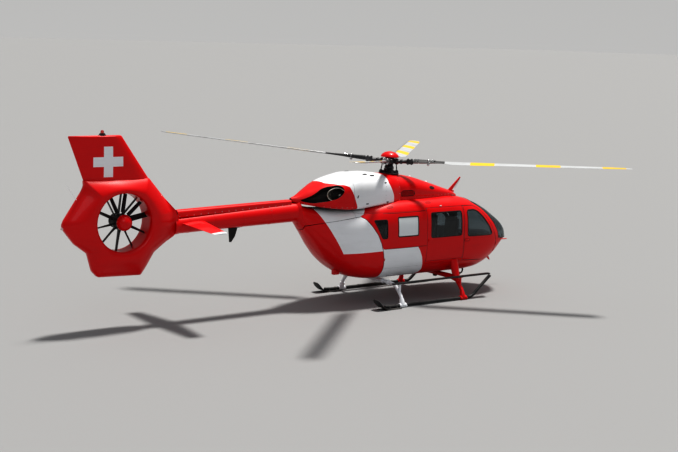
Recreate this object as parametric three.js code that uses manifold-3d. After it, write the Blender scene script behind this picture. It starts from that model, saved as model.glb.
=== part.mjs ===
// A light twin-engined rescue helicopter with a shrouded tail rotor, parked on its skids.
// Millimetres, +X forward, +Y to port, +Z up. The group's origin is on the ground, under the
// middle of the overall box. Inside the group, x = 0 is the main rotor's mast.
import * as THREE from "three";
import { mergeVertices } from "three/addons/utils/BufferGeometryUtils.js";
import Module from "manifold-3d";

const wasm = await Module();
wasm.setup();

// Driving dimensions
const ROTOR_RADIUS = 5500;
const TAIL_END_X = -8160;
const NOSE_X = 3500;
const MAST_X = 2077; // puts the middle of the overall box on the origin
const BODY_HALF_WIDTH = 870;
const WALL = 45;
const STATIC_GAP = 0.6; // between pieces that are fastened together
const PANEL_GAP = 8; // round a panel that stays shut
const DOOR_GAP = 12; // round a hinged door, so that its edges swing clear
const HUB_HEIGHT = 3190;
const MAST_TILT = THREE.MathUtils.degToRad(3);
const BLADE_CONE = THREE.MathUtils.degToRad(2.8);
const BLADE_AZIMUTHS = [45, 135, 225, 315];
const SKID_HALF_TRACK = 1158;
const SKID_RADIUS = 38;
const FENESTRON = { x: -6890, z: 2200, radius: 590 };
const BLADE_CHORD = 325;

const COLOURS = {
  red: [0xd0101a, 0.3, 0.1],
  white: [0xe8eaee, 0.3, 0.1],
  black: [0x141416, 0.6, 0.1],
  glass: [0x10161c, 0.08, 0.0],
  frosted: [0xc9ced2, 0.5, 0.0],
  steel: [0x8b8f94, 0.35, 0.8],
  dark_metal: [0x2c2d30, 0.5, 0.6],
  grey: [0xa8acb0, 0.45, 0.2],
  interior: [0x3a3d42, 0.8, 0.0],
};

const craft = new THREE.Group();
craft.position.x = MAST_X;

// Solids: three.js geometry in, manifold-3d joins and cuts
function toSolid(geometry) {
  const flat = geometry.index ? geometry.toNonIndexed() : geometry.clone();
  for (const name of Object.keys(flat.attributes)) {
    if (name !== "position") flat.deleteAttribute(name);
  }
  const merged = mergeVertices(flat, 1e-3);
  const triVerts = new Uint32Array(merged.index.array);
  const vertProperties = merged.attributes.position.array;
  let solid = new wasm.Manifold(new wasm.Mesh({ numProp: 3, vertProperties, triVerts }));
  if (solid.volume() < 0) {
    for (let i = 0; i < triVerts.length; i += 3) {
      [triVerts[i + 1], triVerts[i + 2]] = [triVerts[i + 2], triVerts[i + 1]];
    }
    solid = new wasm.Manifold(new wasm.Mesh({ numProp: 3, vertProperties, triVerts }));
  }
  return solid;
}

function toGeometry(solid) {
  const mesh = solid.getMesh();
  const points = new Float32Array(mesh.numVert * 3);
  for (let i = 0; i < mesh.numVert; i++) {
    points.set(mesh.vertProperties.subarray(i * mesh.numProp, i * mesh.numProp + 3), i * 3);
  }
  const geometry = new THREE.BufferGeometry();
  geometry.setAttribute("position", new THREE.BufferAttribute(points, 3));
  geometry.setIndex(new THREE.BufferAttribute(new Uint32Array(mesh.triVerts), 1));
  geometry.computeVertexNormals();
  return geometry;
}

const join = (...solids) => solids.reduce((all, next) => all.add(next));
const cut = (solid, ...tools) => tools.reduce((rest, tool) => rest.subtract(tool), solid);

function largestPiece(solid) {
  return solid.decompose().reduce((a, b) => (b.volume() > a.volume() ? b : a));
}

// A closed solid through rings of points, with a fan over each end
function loft(rings) {
  const count = rings[0].length;
  const points = rings.flat();
  const faces = [];
  rings.slice(1).forEach((_, i) => {
    for (let j = 0; j < count; j++) {
      const a = i * count + j;
      const b = i * count + ((j + 1) % count);
      faces.push(a, b, a + count, b, b + count, a + count);
    }
  });
  const closeEnd = (ring, start, flip) => {
    const centre = ring.reduce((sum, p) => sum.add(p), new THREE.Vector3()).divideScalar(count);
    points.push(centre);
    const middle = points.length - 1;
    for (let j = 0; j < count; j++) {
      const pair = [start + j, start + ((j + 1) % count)];
      faces.push(middle, ...(flip ? pair.reverse() : pair));
    }
  };
  closeEnd(rings[0], 0, true);
  closeEnd(rings[rings.length - 1], (rings.length - 1) * count, false);
  const geometry = new THREE.BufferGeometry().setFromPoints(points);
  geometry.setIndex(faces);
  return toSolid(geometry);
}

function box(x0, x1, y0, y1, z0, z1) {
  const geometry = new THREE.BoxGeometry(x1 - x0, y1 - y0, z1 - z0);
  return toSolid(geometry.translate((x0 + x1) / 2, (y0 + y1) / 2, (z0 + z1) / 2));
}

// A side-view outline of [x, z] points, given depth from y0 to y1
function prism(outline, y0, y1) {
  const shape = new THREE.Shape(outline.map(([x, z]) => new THREE.Vector2(x, z)));
  const geometry = new THREE.ExtrudeGeometry(shape, { depth: y1 - y0, bevelEnabled: false });
  return toSolid(geometry.rotateX(Math.PI / 2).translate(0, y1, 0));
}

function rod(from, to, radius, endRadius = radius, sides = 14) {
  const a = new THREE.Vector3(...from);
  const b = new THREE.Vector3(...to);
  const along = b.clone().sub(a);
  const geometry = new THREE.CylinderGeometry(endRadius, radius, along.length(), sides);
  const turn = new THREE.Quaternion().setFromUnitVectors(
    new THREE.Vector3(0, 1, 0),
    along.clone().normalize(),
  );
  geometry.applyQuaternion(turn);
  return toSolid(geometry.translate(...a.add(b).divideScalar(2).toArray()));
}

// A round tube that follows a smooth curve through the given points
function tube(points, radius, steps = 24, sides = 12) {
  const curve = new THREE.CatmullRomCurve3(points.map((p) => new THREE.Vector3(...p)));
  const frames = curve.computeFrenetFrames(steps, false);
  const rings = frames.tangents.map((_, i) => {
    const centre = curve.getPointAt(i / steps);
    return Array.from({ length: sides }, (_, k) => {
      const angle = (2 * Math.PI * (k + 0.5)) / sides;
      return centre
        .clone()
        .addScaledVector(frames.normals[i], radius * Math.cos(angle))
        .addScaledVector(frames.binormals[i], radius * Math.sin(angle));
    });
  });
  return loft(rings);
}

// Moves each edge of a convex or gently curved outline inwards by the given distance
function inset(outline, distance) {
  const points = outline.map(([x, z]) => new THREE.Vector2(x, z));
  const turning = Math.sign(THREE.ShapeUtils.area(points));
  return points.map((p, i) => {
    const before = points[(i + points.length - 1) % points.length];
    const after = points[(i + 1) % points.length];
    const u = p.clone().sub(before).normalize();
    const v = after.clone().sub(p).normalize();
    const nu = new THREE.Vector2(-u.y, u.x).multiplyScalar(turning);
    const nv = new THREE.Vector2(-v.y, v.x).multiplyScalar(turning);
    const half = nu.clone().add(nv).normalize();
    const reach = distance / Math.max(half.dot(nu), 0.3);
    return [p.x + half.x * reach, p.y + half.y * reach];
  });
}

function add(name, colour, solid, parent = craft) {
  const [hex, roughness, metalness] = COLOURS[colour];
  const material = new THREE.MeshStandardMaterial({ color: hex, roughness, metalness });
  const mesh = new THREE.Mesh(toGeometry(solid), material);
  mesh.name = name;
  parent.add(mesh);
  return mesh;
}

// Cross-sections of a body, from a table of stations:
// x, bottom z, waist z, top z, half width, squareness below the waist, squareness above it
function stationAt(table, x) {
  let i = table.findIndex((row) => row[0] <= x);
  if (i < 0) i = table.length - 1;
  i = Math.max(1, i);
  const rows = [table[Math.max(i - 2, 0)], table[i - 1], table[i], table[Math.min(i + 1, table.length - 1)]];
  const [x1, x2] = [rows[1][0], rows[2][0]];
  const t = THREE.MathUtils.clamp((x - x1) / (x2 - x1), 0, 1);
  return rows[1].map((_, k) => {
    const [p0, p1, p2, p3] = rows.map((row) => row[k]);
    const slope = (a, b, c, xa, xb, xc) => {
      const left = (b - a) / (xb - xa || 1e9);
      const right = (c - b) / (xc - xb || 1e9);
      return left * right > 0 ? (2 * left * right) / (left + right) : 0;
    };
    const m1 = slope(p0, p1, p2, rows[0][0], x1, x2) * (x2 - x1);
    const m2 = slope(p1, p2, p3, x1, x2, rows[3][0]) * (x2 - x1);
    const [t2, t3] = [t * t, t * t * t];
    return (
      (2 * t3 - 3 * t2 + 1) * p1 + (t3 - 2 * t2 + t) * m1 + (3 * t2 - 2 * t3) * p2 + (t3 - t2) * m2
    );
  });
}

function sectionRing(x, [, bottom, waist, top, half, low, high], inward, count) {
  const dense = [];
  const steps = 160;
  for (let i = 0; i <= steps; i++) {
    const angle = -Math.PI / 2 + (Math.PI * i) / steps;
    const [c, s] = [Math.cos(angle), Math.sin(angle)];
    const power = 2 / (s > 0 ? high : low);
    const reach = s > 0 ? top - inward - waist : waist - bottom - inward;
    dense.push([(half - inward) * Math.abs(c) ** power, waist + reach * Math.sign(s) * Math.abs(s) ** power]);
  }
  const lengths = [0];
  for (let i = 1; i < dense.length; i++) {
    const step = Math.hypot(dense[i][0] - dense[i - 1][0], dense[i][1] - dense[i - 1][1]);
    lengths.push(lengths[i - 1] + step);
  }
  const total = lengths[steps];
  const side = [];
  for (let k = 0; k <= count / 2; k++) {
    const target = (total * 2 * k) / count;
    let i = lengths.findIndex((l) => l >= target - 1e-9);
    i = Math.max(1, i < 0 ? steps : i);
    const t = (target - lengths[i - 1]) / (lengths[i] - lengths[i - 1] || 1);
    side.push([
      THREE.MathUtils.lerp(dense[i - 1][0], dense[i][0], t),
      THREE.MathUtils.lerp(dense[i - 1][1], dense[i][1], t),
    ]);
  }
  const right = side.map(([y, z]) => new THREE.Vector3(x, -y, z));
  const left = side.slice(1, -1).reverse().map(([y, z]) => new THREE.Vector3(x, y, z));
  right[0].y = 0;
  right[right.length - 1].y = 0;
  return [...right, ...left];
}

function bodyLoft(table, stations, inward = 0, count = 32) {
  return loft(stations.map((x) => sectionRing(x, stationAt(table, x), inward, count)));
}

// Cabin and rear body
const BODY = [
  [NOSE_X, 1155, 1205, 1270, 90, 2.0, 2.0],
  [3455, 1100, 1250, 1375, 230, 1.0, 2.1],
  [3320, 1000, 1295, 1540, 455, 0.85, 2.4],
  [3130, 790, 1300, 1730, 650, 1.05, 2.6],
  [2880, 670, 1265, 1915, 745, 1.55, 2.6],
  [2560, 597, 1255, 2100, 815, 2.15, 2.8],
  [2200, 555, 1290, 2240, 850, 2.8, 3.3],
  [1800, 540, 1320, 2335, 868, 3.0, 3.7],
  [1300, 540, 1345, 2378, BODY_HALF_WIDTH, 3.0, 4.0],
  [400, 540, 1350, 2385, BODY_HALF_WIDTH, 3.0, 4.0],
  [-300, 540, 1350, 2370, 860, 3.0, 4.0],
  [-800, 550, 1370, 2310, 838, 2.9, 3.8],
  [-1200, 610, 1420, 2245, 790, 2.7, 3.4],
  [-1550, 770, 1500, 2225, 705, 2.5, 3.0],
  [-1850, 985, 1590, 2225, 590, 2.4, 2.7],
  [-2100, 1240, 1700, 2235, 460, 2.3, 2.5],
  [-2350, 1560, 1880, 2260, 330, 2.2, 2.3],
  [-2600, 1880, 2120, 2330, 225, 2.1, 2.1],
];
const BODY_STATIONS = [
  NOSE_X, 3484, 3455, 3395, 3320, 3230, 3130, 3010, 2880, 2560, 2200, 1800, 1300, 400, -300, -600, -860, -1120,
  -1380, -1620, -1850, -2100, -2350, -2600,
];
const BODY_REAR_X = -2600;
const INNER_NOSE_X = 3380;

const outerBody = bodyLoft(BODY, BODY_STATIONS);
const innerStations = BODY_STATIONS.filter((x) => x <= INNER_NOSE_X && x > BODY_REAR_X);
// The hollow follows the skin, and near the nose it steps back by the wall's thickness
function hollow(inward, extend) {
  const rings = innerStations.map((x) => {
    const shift = inward * THREE.MathUtils.smoothstep(x, 2200, INNER_NOSE_X);
    return sectionRing(x, stationAt(BODY, x + shift), inward, 28);
  });
  if (extend) {
    const row = stationAt(BODY, BODY_REAR_X);
    rings.push(sectionRing(BODY_REAR_X - 50, row, inward, 28));
  }
  return loft(rings);
}
const shell = outerBody.subtract(hollow(WALL, true));
const GLASS_FACE = 9;
const GLASS_BACK = 18;
const glassSkin = bodyLoft(BODY, BODY_STATIONS.slice(1, -1), GLASS_FACE).subtract(
  hollow(GLASS_BACK, true),
);

// Outlines in side view, in [x, z]
const PILOT_DOOR = [
  [1640, 860], [2300, 820], [2640, 860], [2735, 960], [2745, 1250], [2700, 1440], [2560, 1700], [2360, 1930],
  [2150, 2085], [1980, 2150], [1640, 2165],
];
const PILOT_WINDOW = [
  [1760, 1440], [2520, 1420], [2590, 1450], [2500, 1630], [2310, 1860], [2130, 2005], [2000, 2050], [1790, 2050],
  [1750, 2010],
];
const SLIDING_DOOR = [
  [500, 925], [1620, 925], [1620, 2165], [500, 2165],
];
const SLIDING_WINDOW = [
  [650, 1475], [1530, 1475], [1560, 1505], [1560, 2020], [1530, 2050], [650, 2050], [620, 2020], [620, 1505],
];
const AFT_WINDOW = [
  [-330, 1560], [220, 1560], [235, 1575], [235, 1985], [220, 2000], [-330, 2000], [-345, 1985], [-345, 1575],
];
const CORNER_WINDOW = [
  [-650, 1545], [-650, 1960], [-960, 1960], [-985, 1935], [-780, 1560],
];
const WINDSHIELD_EDGE = [
  [2860, 1320], [2830, 1460], [2700, 1690], [2520, 1900], [2320, 2060], [2080, 2200],
];
const WINDSHIELD = [[3700, 1225], [3700, 2500], [2080, 2500], ...WINDSHIELD_EDGE.slice().reverse()];
const CHIN_WINDOW = [[3080, 870], [3350, 960], [3370, 1090], [3110, 1060]];
const CLAM_FRONT = [
  [-1290, 2060], [-1180, 2000], [-1050, 1850], [-900, 1640], [-800, 1430], [-735, 1200], [-690, 900], [-670, 640],
];
const CLAM_DOOR = [
  ...CLAM_FRONT, [-670, 300], [-2900, 300], [-2900, 1790], [-2350, 1900],
];
const ROOF_SPLIT_Z = 2120;
const SILL_Z = 840;
const NOSE_SPLIT_X = 2760;
const NOSE_TOP_Z = 1330;
const SCREEN_REAR_X = 2080;
const WALL_FRONT_X = 1700;
const WALL_REAR_X = -1400;
const POST_HALF = 28;
const WIDE = 1200;

const doorCuts = [];
for (const outline of [PILOT_DOOR, SLIDING_DOOR]) {
  doorCuts.push(prism(outline, -WIDE, -250), prism(outline, 250, WIDE));
}
const centrePost = box(1900, 3700, -POST_HALF, POST_HALF, 1000, 2600);
const windshieldCut = prism(WINDSHIELD, -WIDE, WIDE).subtract(centrePost);
const wallWindows = [AFT_WINDOW, CORNER_WINDOW].map((outline) => prism(outline, -WIDE, WIDE));
const chinPost = box(2900, 3500, -110, 110, 600, 1300);
const chinCut = prism(CHIN_WINDOW, -WIDE, WIDE).subtract(chinPost);
const clamCut = prism(CLAM_DOOR, -WIDE, WIDE);
const frame = cut(shell, ...doorCuts, windshieldCut, ...wallWindows, chinCut, clamCut);

const half = STATIC_GAP / 2;
const noseZone = box(NOSE_SPLIT_X + half, 3700, -WIDE, WIDE, 0, NOSE_TOP_Z - half);
const bellyZone = box(WALL_REAR_X, NOSE_SPLIT_X - half, -WIDE, WIDE, 0, SILL_Z - half);
const roofZone = box(WALL_REAR_X, SCREEN_REAR_X - half, -WIDE, WIDE, ROOF_SPLIT_Z + half, 2700);
const rearZone = box(-2700, WALL_REAR_X - half, -WIDE, WIDE, 1500, 2700);
const sideZone = (y0, y1) => box(WALL_REAR_X, WALL_FRONT_X, y0, y1, SILL_Z + half, ROOF_SPLIT_Z - half);
const screenZone = cut(
  box(WALL_FRONT_X + half, 3700, -WIDE, WIDE, SILL_Z + half, 2700),
  box(1500, SCREEN_REAR_X + half, -WIDE, WIDE, ROOF_SPLIT_Z - half, 2800),
  box(NOSE_SPLIT_X - half, 3800, -WIDE, WIDE, 0, NOSE_TOP_Z + half),
);
add("nose_shell", "red", largestPiece(frame.intersect(noseZone)));
add("belly_shell", "red", largestPiece(frame.intersect(bellyZone)));
add("roof_panel", "red", largestPiece(frame.intersect(roofZone)));
add("boom_root", "red", largestPiece(frame.intersect(rearZone)));
add("windshield_frame", "red", largestPiece(frame.intersect(screenZone)));

const screen = glassSkin.intersect(
  prism(inset(WINDSHIELD, STATIC_GAP), -WIDE, WIDE).subtract(
    box(1900, 3700, -POST_HALF - 1, POST_HALF + 1, 1000, 2600),
  ),
);
const chinGlass = glassSkin.intersect(
  prism(inset(CHIN_WINDOW, STATIC_GAP), -WIDE, WIDE).subtract(box(2900, 3500, -111, 111, 600, 1300)),
);

const SIDES = [
  ["right", -1],
  ["left", 1],
];
for (const [side, sign] of SIDES) {
  const span = (near, far) => (sign < 0 ? [-far, -near] : [near, far]);
  const outside = span(0, WIDE);
  const doorSpan = span(250, WIDE);
  const wall = frame.intersect(sideZone(...outside));
  add(`side_wall_${side}`, "red", largestPiece(wall));
  add(`windshield_${side}`, "glass", largestPiece(screen.intersect(box(1000, 3700, ...outside, 0, 2700))));
  add(`chin_window_${side}`, "glass", largestPiece(chinGlass.intersect(box(1000, 3700, ...outside, 0, 2700))));

  const doors = [
    ["pilot_door", PILOT_DOOR, PILOT_WINDOW, DOOR_GAP],
    ["sliding_door", SLIDING_DOOR, SLIDING_WINDOW, PANEL_GAP],
  ];
  for (const [name, outline, window, gap] of doors) {
    const leaf = shell.intersect(prism(inset(outline, gap), ...doorSpan));
    add(`${name}_${side}`, "red", largestPiece(leaf.subtract(prism(window, ...doorSpan))));
    const pane = glassSkin.intersect(prism(inset(window, STATIC_GAP), ...doorSpan));
    add(`${name}_window_${side}`, "glass", largestPiece(pane));
  }
  const panes = [
    ["aft_window", AFT_WINDOW, "frosted"],
    ["corner_window", CORNER_WINDOW, "glass"],
  ];
  for (const [name, outline, finish] of panes) {
    const pane = glassSkin.intersect(prism(inset(outline, STATIC_GAP), ...doorSpan));
    add(`${name}_${side}`, finish, largestPiece(pane));
  }
  const clam = shell.intersect(prism(inset(CLAM_DOOR, DOOR_GAP), ...span(DOOR_GAP / 2, WIDE)));
  add(`clamshell_door_${side}`, "red", largestPiece(clam));
}

// Cabin floor and what shows through the glass
const FLOOR_Z = 800;
const floorOutline = hollow(WALL + PANEL_GAP, false).intersect(
  box(-1350, 3000, -WIDE, WIDE, FLOOR_Z, FLOOR_Z + 45),
);
add("cabin_floor", "interior", floorOutline);

function seat(name, x, y, parts) {
  const pieces = [
    box(x - 230, x + 260, y - 235, y + 235, FLOOR_Z + 330, FLOOR_Z + 430),
    box(x - 330, x - 210, y - 225, y + 225, FLOOR_Z + 380, FLOOR_Z + 1050),
    box(x - 325, x - 225, y - 130, y + 130, FLOOR_Z + 1040, FLOOR_Z + 1230),
    box(x - 200, x + 150, y - 160, y + 160, FLOOR_Z + 45 + STATIC_GAP, FLOOR_Z + 340),
  ];
  add(name, "interior", join(...pieces.slice(0, parts)));
}
seat("pilot_seat_right", 1950, -390, 4);
seat("pilot_seat_left", 1950, 390, 4);
const bench = [
  box(470, 960, -620, 620, FLOOR_Z + 330, FLOOR_Z + 430),
  box(400, 500, -620, 620, FLOOR_Z + 380, FLOOR_Z + 1050),
  box(520, 820, -520, 520, FLOOR_Z + 45 + STATIC_GAP, FLOOR_Z + 340),
];
add("cabin_bench", "interior", join(...bench));
const panel = prism(
  [[2560, 1290], [2880, 1300], [2880, 1030], [2700, FLOOR_Z + 46], [2600, FLOOR_Z + 46], [2580, 1000]],
  -400,
  400,
);
add("instrument_panel", "black", panel);

// Sections of the tail boom and of its drive shaft cover
const BOOM = [
  [-2601, 1945, 2160, 2375, 215, 2.1, 2.1],
  [-4000, 1915, 2110, 2305, 195, 2.1, 2.1],
  [-5650, 1870, 2045, 2220, 175, 2.1, 2.1],
];
const BOOM_STATIONS = [-2601, -3300, -4000, -4800, -5640];
const boomSkin = bodyLoft(BOOM, [-2500, ...BOOM_STATIONS, -5700], -STATIC_GAP, 28);

// Engine and gearbox cowlings on the roof, and the heavy masses under them
const COWL = [
  [-60, 2300, 2500, 2905, 520, 9, 2.6],
  [-400, 2280, 2530, 2945, 600, 9, 2.7],
  [-800, 2245, 2540, 2985, 635, 9, 2.8],
  [-1200, 2205, 2540, 2985, 640, 9, 2.8],
  [-1450, 2195, 2520, 2950, 620, 9, 2.7],
];
const REAR_COWL = [
  [-1450, 2195, 2520, 2950, 620, 9, 2.7],
  [-1750, 2215, 2500, 2885, 590, 8, 2.5],
  [-2050, 2245, 2470, 2790, 480, 6, 2.3],
  [-2350, 2290, 2430, 2660, 300, 4, 2.1],
  [-2620, 2345, 2430, 2520, 120, 3, 2.0],
  [-2760, 2400, 2440, 2475, 40, 2.5, 2.0],
];
const FRONT_COWL = [
  [2020, 2290, 2300, 2312, 60, 2, 2.0],
  [1930, 2312, 2330, 2375, 190, 4, 2.0],
  [1700, 2355, 2385, 2475, 330, 6, 2.1],
  [1350, 2380, 2430, 2585, 430, 8, 2.2],
  [950, 2390, 2470, 2710, 490, 9, 2.3],
  [500, 2392, 2500, 2835, 520, 9, 2.4],
  [150, 2393, 2520, 2890, 520, 9, 2.5],
  [-55, 2393, 2520, 2905, 505, 9, 2.5],
];
const COWL_WALL = 25;
function cowling(table, from, to, steps, openFront, openRear) {
  const stations = Array.from({ length: steps + 1 }, (_, i) => from + ((to - from) * i) / steps);
  const skin = bodyLoft(table, stations, 0, 24);
  const inner = stations.map((x, i) => {
    const first = i === 0 && openFront ? 40 : 0;
    const last = i === steps && openRear ? -40 : 0;
    const row = stationAt(table, x);
    row[1] -= 200;
    return sectionRing(x + first + last, row, COWL_WALL, 20);
  });
  return skin.subtract(loft(inner.filter((_, i) => (openFront || i > 0) && (openRear || i < steps))));
}
const roofSkin = bodyLoft(BODY, BODY_STATIONS, -STATIC_GAP);
const mastOpening = rod([0, 0, 2300], [0, 0, 3100], 255, 255, 24);
const cowl = cut(cowling(COWL, -60, -1449, 6, true, true), roofSkin);
const gearboxCowl = cut(cowling(FRONT_COWL, 2020, -54, 10, false, true), roofSkin, mastOpening);
const NOZZLE_AXIS = { start: [-1480, 330, 2480], end: [-2120, 640, 2600] };
const nozzleHole = (sign, radius) => {
  const flip = ([x, y, z]) => [x, y * sign, z];
  return rod(flip(NOZZLE_AXIS.start), flip(NOZZLE_AXIS.end), radius, radius, 20);
};
const rearCowl = cut(
  cowling(REAR_COWL, -1451, -2760, 7, true, false),
  roofSkin,
  boomSkin,
  nozzleHole(1, 178),
  nozzleHole(-1, 178),
);
add("engine_cowling", "white", largestPiece(cut(cowl, mastOpening)));
add("gearbox_cowling", "red", largestPiece(gearboxCowl));
add("exhaust_fairing", "red", largestPiece(rearCowl));
const NOZZLE_STANDS_PROUD = 30;
const nozzleReach = bodyLoft(REAR_COWL, [-1300, -1500, -1750, -2050, -2350, -2600], -NOZZLE_STANDS_PROUD, 24);
for (const [side, sign] of SIDES) {
  const outerPipe = nozzleHole(sign, 165);
  const flip = ([x, y, z]) => [x, y * sign, z];
  const mouth = new THREE.Vector3(...flip(NOZZLE_AXIS.end));
  const root = new THREE.Vector3(...flip(NOZZLE_AXIS.start));
  const bore = root.clone().lerp(mouth, 0.2);
  const beyond = root.clone().lerp(mouth, 1.2);
  const nozzle = cut(outerPipe, rod(bore.toArray(), beyond.toArray(), 150, 150, 20)).intersect(nozzleReach);
  add(`exhaust_nozzle_${side}`, "dark_metal", largestPiece(cut(nozzle, roofSkin)));
}
const machinery = join(
  box(-330, 330, -300, 300, 2410, 2780),
  box(-1400, -329, -520, -150, 2410, 2640),
  box(-1400, -329, 150, 520, 2410, 2640),
);
add("engines_and_gearbox", "steel", machinery);

// Main rotor: mast, swashplate, hub and four blades, all about the tilted mast
const rotor = new THREE.Group();
rotor.position.set(0, 0, HUB_HEIGHT);
rotor.rotation.y = MAST_TILT;
craft.add(rotor);

const mastPieces = [
  rod([0, 0, -380], [0, 0, -40], 62, 62, 20),
  rod([0, 0, -290], [0, 0, -235], 235, 225, 28),
  rod([0, 0, -236], [0, 0, -180], 150, 120, 24),
];
for (const azimuth of BLADE_AZIMUTHS) {
  const turn = THREE.MathUtils.degToRad(-azimuth + 28);
  const [c, s] = [Math.cos(turn), Math.sin(turn)];
  mastPieces.push(rod([135 * c, 135 * s, -240], [150 * c, 150 * s, -42], 14, 14, 8));
}
add("rotor_mast", "dark_metal", join(...mastPieces), rotor);
const hubPieces = [
  rod([0, 0, -39.4], [0, 0, 60], 165, 165, 24),
  rod([0, 0, 59], [0, 0, 96], 110, 110, 24),
];
for (const azimuth of BLADE_AZIMUTHS) {
  const turn = THREE.MathUtils.degToRad(-azimuth);
  const [c, s] = [Math.cos(turn), Math.sin(turn)];
  const rise = Math.tan(BLADE_CONE);
  hubPieces.push(rod([100 * c, 100 * s, 5], [560 * c, 560 * s, 560 * rise], 72, 62, 14));
}
add("rotor_hub", "dark_metal", join(...hubPieces), rotor);
const capProfile = [
  [0, 96.6], [205, 96.6], [212, 112], [196, 150], [150, 192], [80, 222], [0, 232],
];
const cap = new THREE.LatheGeometry(capProfile.map(([r, z]) => new THREE.Vector2(r, z)), 28);
add("hub_cap", "red", toSolid(cap.rotateX(Math.PI / 2)), rotor);

// Blade sections: radius, chord, thickness, forward sweep of the leading edge, twist in degrees.
// Seen from above the rotor turns anticlockwise, so the front blade's leading edge is to port.
const BLADE = [
  [567, 130, 118, 65, 8],
  [700, 140, 112, 70, 8],
  [900, 150, 96, 75, 8],
  [1010, 120, 76, 60, 8],
  [1200, 150, 58, 70, 7.5],
  [1500, BLADE_CHORD, 44, 95, 7],
  [3500, BLADE_CHORD, 38, 95, 3.5],
  [4950, BLADE_CHORD, 34, 95, 1],
  [5300, 285, 26, 70, 0.4],
  [5440, 215, 18, 25, 0.2],
  [ROTOR_RADIUS, 110, 10, -50, 0],
];
function bladeRing([radius, chord, thickness, lead, twist]) {
  const angle = THREE.MathUtils.degToRad(twist);
  const outline = [
    [0, 0], [0.08, 0.38], [0.3, 0.5], [0.65, 0.28], [1, 0.02],
    [1, -0.02], [0.65, -0.2], [0.3, -0.36], [0.08, -0.3],
  ];
  return outline.map(([along, up]) => {
    const back = lead - along * chord;
    const z = up * thickness;
    return new THREE.Vector3(
      radius * Math.cos(BLADE_CONE) - z * Math.sin(BLADE_CONE),
      back * Math.cos(angle) - z * Math.sin(angle),
      radius * Math.sin(BLADE_CONE) + back * Math.sin(angle) + z * Math.cos(angle),
    );
  }).reverse();
}
BLADE_AZIMUTHS.forEach((azimuth, i) => {
  const arm = new THREE.Group();
  arm.rotation.z = THREE.MathUtils.degToRad(-azimuth);
  rotor.add(arm);
  const bolts = join(
    rod([900, -45, -30], [900, -45, 110], 20, 20, 8),
    rod([900, 45, -30], [900, 45, 110], 20, 20, 8),
    rod([1000, 0, 20], [1000, 0, 120], 34, 34, 10),
  );
  add(`rotor_blade_${i + 1}`, "grey", join(loft(BLADE.map(bladeRing)), bolts), arm);
});
// Tail boom, its drive shaft cover and the shrouded tail rotor
const boomOuter = bodyLoft(BOOM, BOOM_STATIONS, 0, 28);
const boomBore = bodyLoft(
  [[-2500, ...BOOM[0].slice(1)], BOOM[1], [-5800, ...BOOM[2].slice(1)]],
  [-2500, -4000, -5800],
  14,
  24,
);
add("tail_boom", "red", boomOuter.subtract(boomBore));
const COVER = [
  [-2780, 2300, 2390, 2440, 110, 4, 2.6],
  [-3500, 2270, 2370, 2425, 110, 4, 2.6],
  [-5630, 2170, 2290, 2372, 105, 4, 2.6],
];
const coverSkin = bodyLoft(COVER, [-2790, -3500, -4600, -5630], 0, 16);
add("driveshaft_cover", "red", coverSkin.subtract(boomSkin));

// Side outline of the shroud in [x, z] about which the skin swells towards the duct
const SHROUD = [
  [-5690, 2380], [-5640, 2200], [-5640, 2040], [-5700, 1850], [-6140, 1530], [-6330, 1230], [-6440, 1080], [-7400, 1110],
  [-7520, 1240], [-7620, 1600], [-7900, 1810], [-8115, 2085], [TAIL_END_X, 2190], [-8120, 2290], [-7740, 2850], [-7690, 2960],
  [-7700, 3070], [-6270, 3070],
];
const DUCT_SECTION = [
  // share of the way from throat to outline, half thickness
  [0, 120], [0.03, 205], [0.1, 250], [0.26, 266], [0.6, 208], [0.88, 112], [1, 52],
];
const SHROUD_STEP = 260;
// The outline, with its long edges divided
const shroudRim = SHROUD.flatMap(([ax, az], i) => {
  const [bx, bz] = SHROUD[(i + 1) % SHROUD.length];
  const parts = Math.ceil(Math.hypot(bx - ax, bz - az) / SHROUD_STEP);
  return Array.from({ length: parts }, (_, k) => [
    ax + ((bx - ax) * k) / parts - FENESTRON.x,
    az + ((bz - az) * k) / parts - FENESTRON.z,
  ]);
});
function shroudSkin(inward) {
  const rings = [];
  for (const [dx, dz] of shroudRim) {
    const angle = Math.atan2(dz, dx);
    const reach = Math.hypot(dx, dz);
    const forward = Math.max(0, Math.cos(angle)) ** 14;
    const side = DUCT_SECTION.map(([share, thick]) => {
      const least = THREE.MathUtils.lerp(0, 160, forward * share);
      const r = FENESTRON.radius + inward + share * (reach - FENESTRON.radius - 2 * inward);
      return [r, Math.max(thick, least) - inward];
    });
    const ring = [
      ...side.map(([r, y]) => [r, -Math.max(y, 6)]),
      ...side.slice().reverse().map(([r, y]) => [r, Math.max(y, 6)]),
    ];
    rings.push(
      ring.map(([r, y]) => new THREE.Vector3(
        FENESTRON.x + r * Math.cos(angle),
        y,
        FENESTRON.z + r * Math.sin(angle),
      )),
    );
  }
  const count = rings[0].length;
  const faces = [];
  for (let i = 0; i < rings.length; i++) {
    const next = (i + 1) % rings.length;
    for (let j = 0; j < count; j++) {
      const k = (j + 1) % count;
      const [a, b, c, d] = [i * count + j, i * count + k, next * count + j, next * count + k];
      faces.push(a, b, c, b, d, c);
    }
  }
  const geometry = new THREE.BufferGeometry().setFromPoints(rings.flat());
  geometry.setIndex(faces);
  return toSolid(geometry);
}
const SHROUD_WALL = 16;
const cableWay = rod([-6100, 0, 2100], [-5500, 0, 2060], 90, 90, 16);
const shroud = cut(shroudSkin(0), shroudSkin(SHROUD_WALL), cableWay);
add("tail_shroud", "red", largestPiece(shroud));

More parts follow.
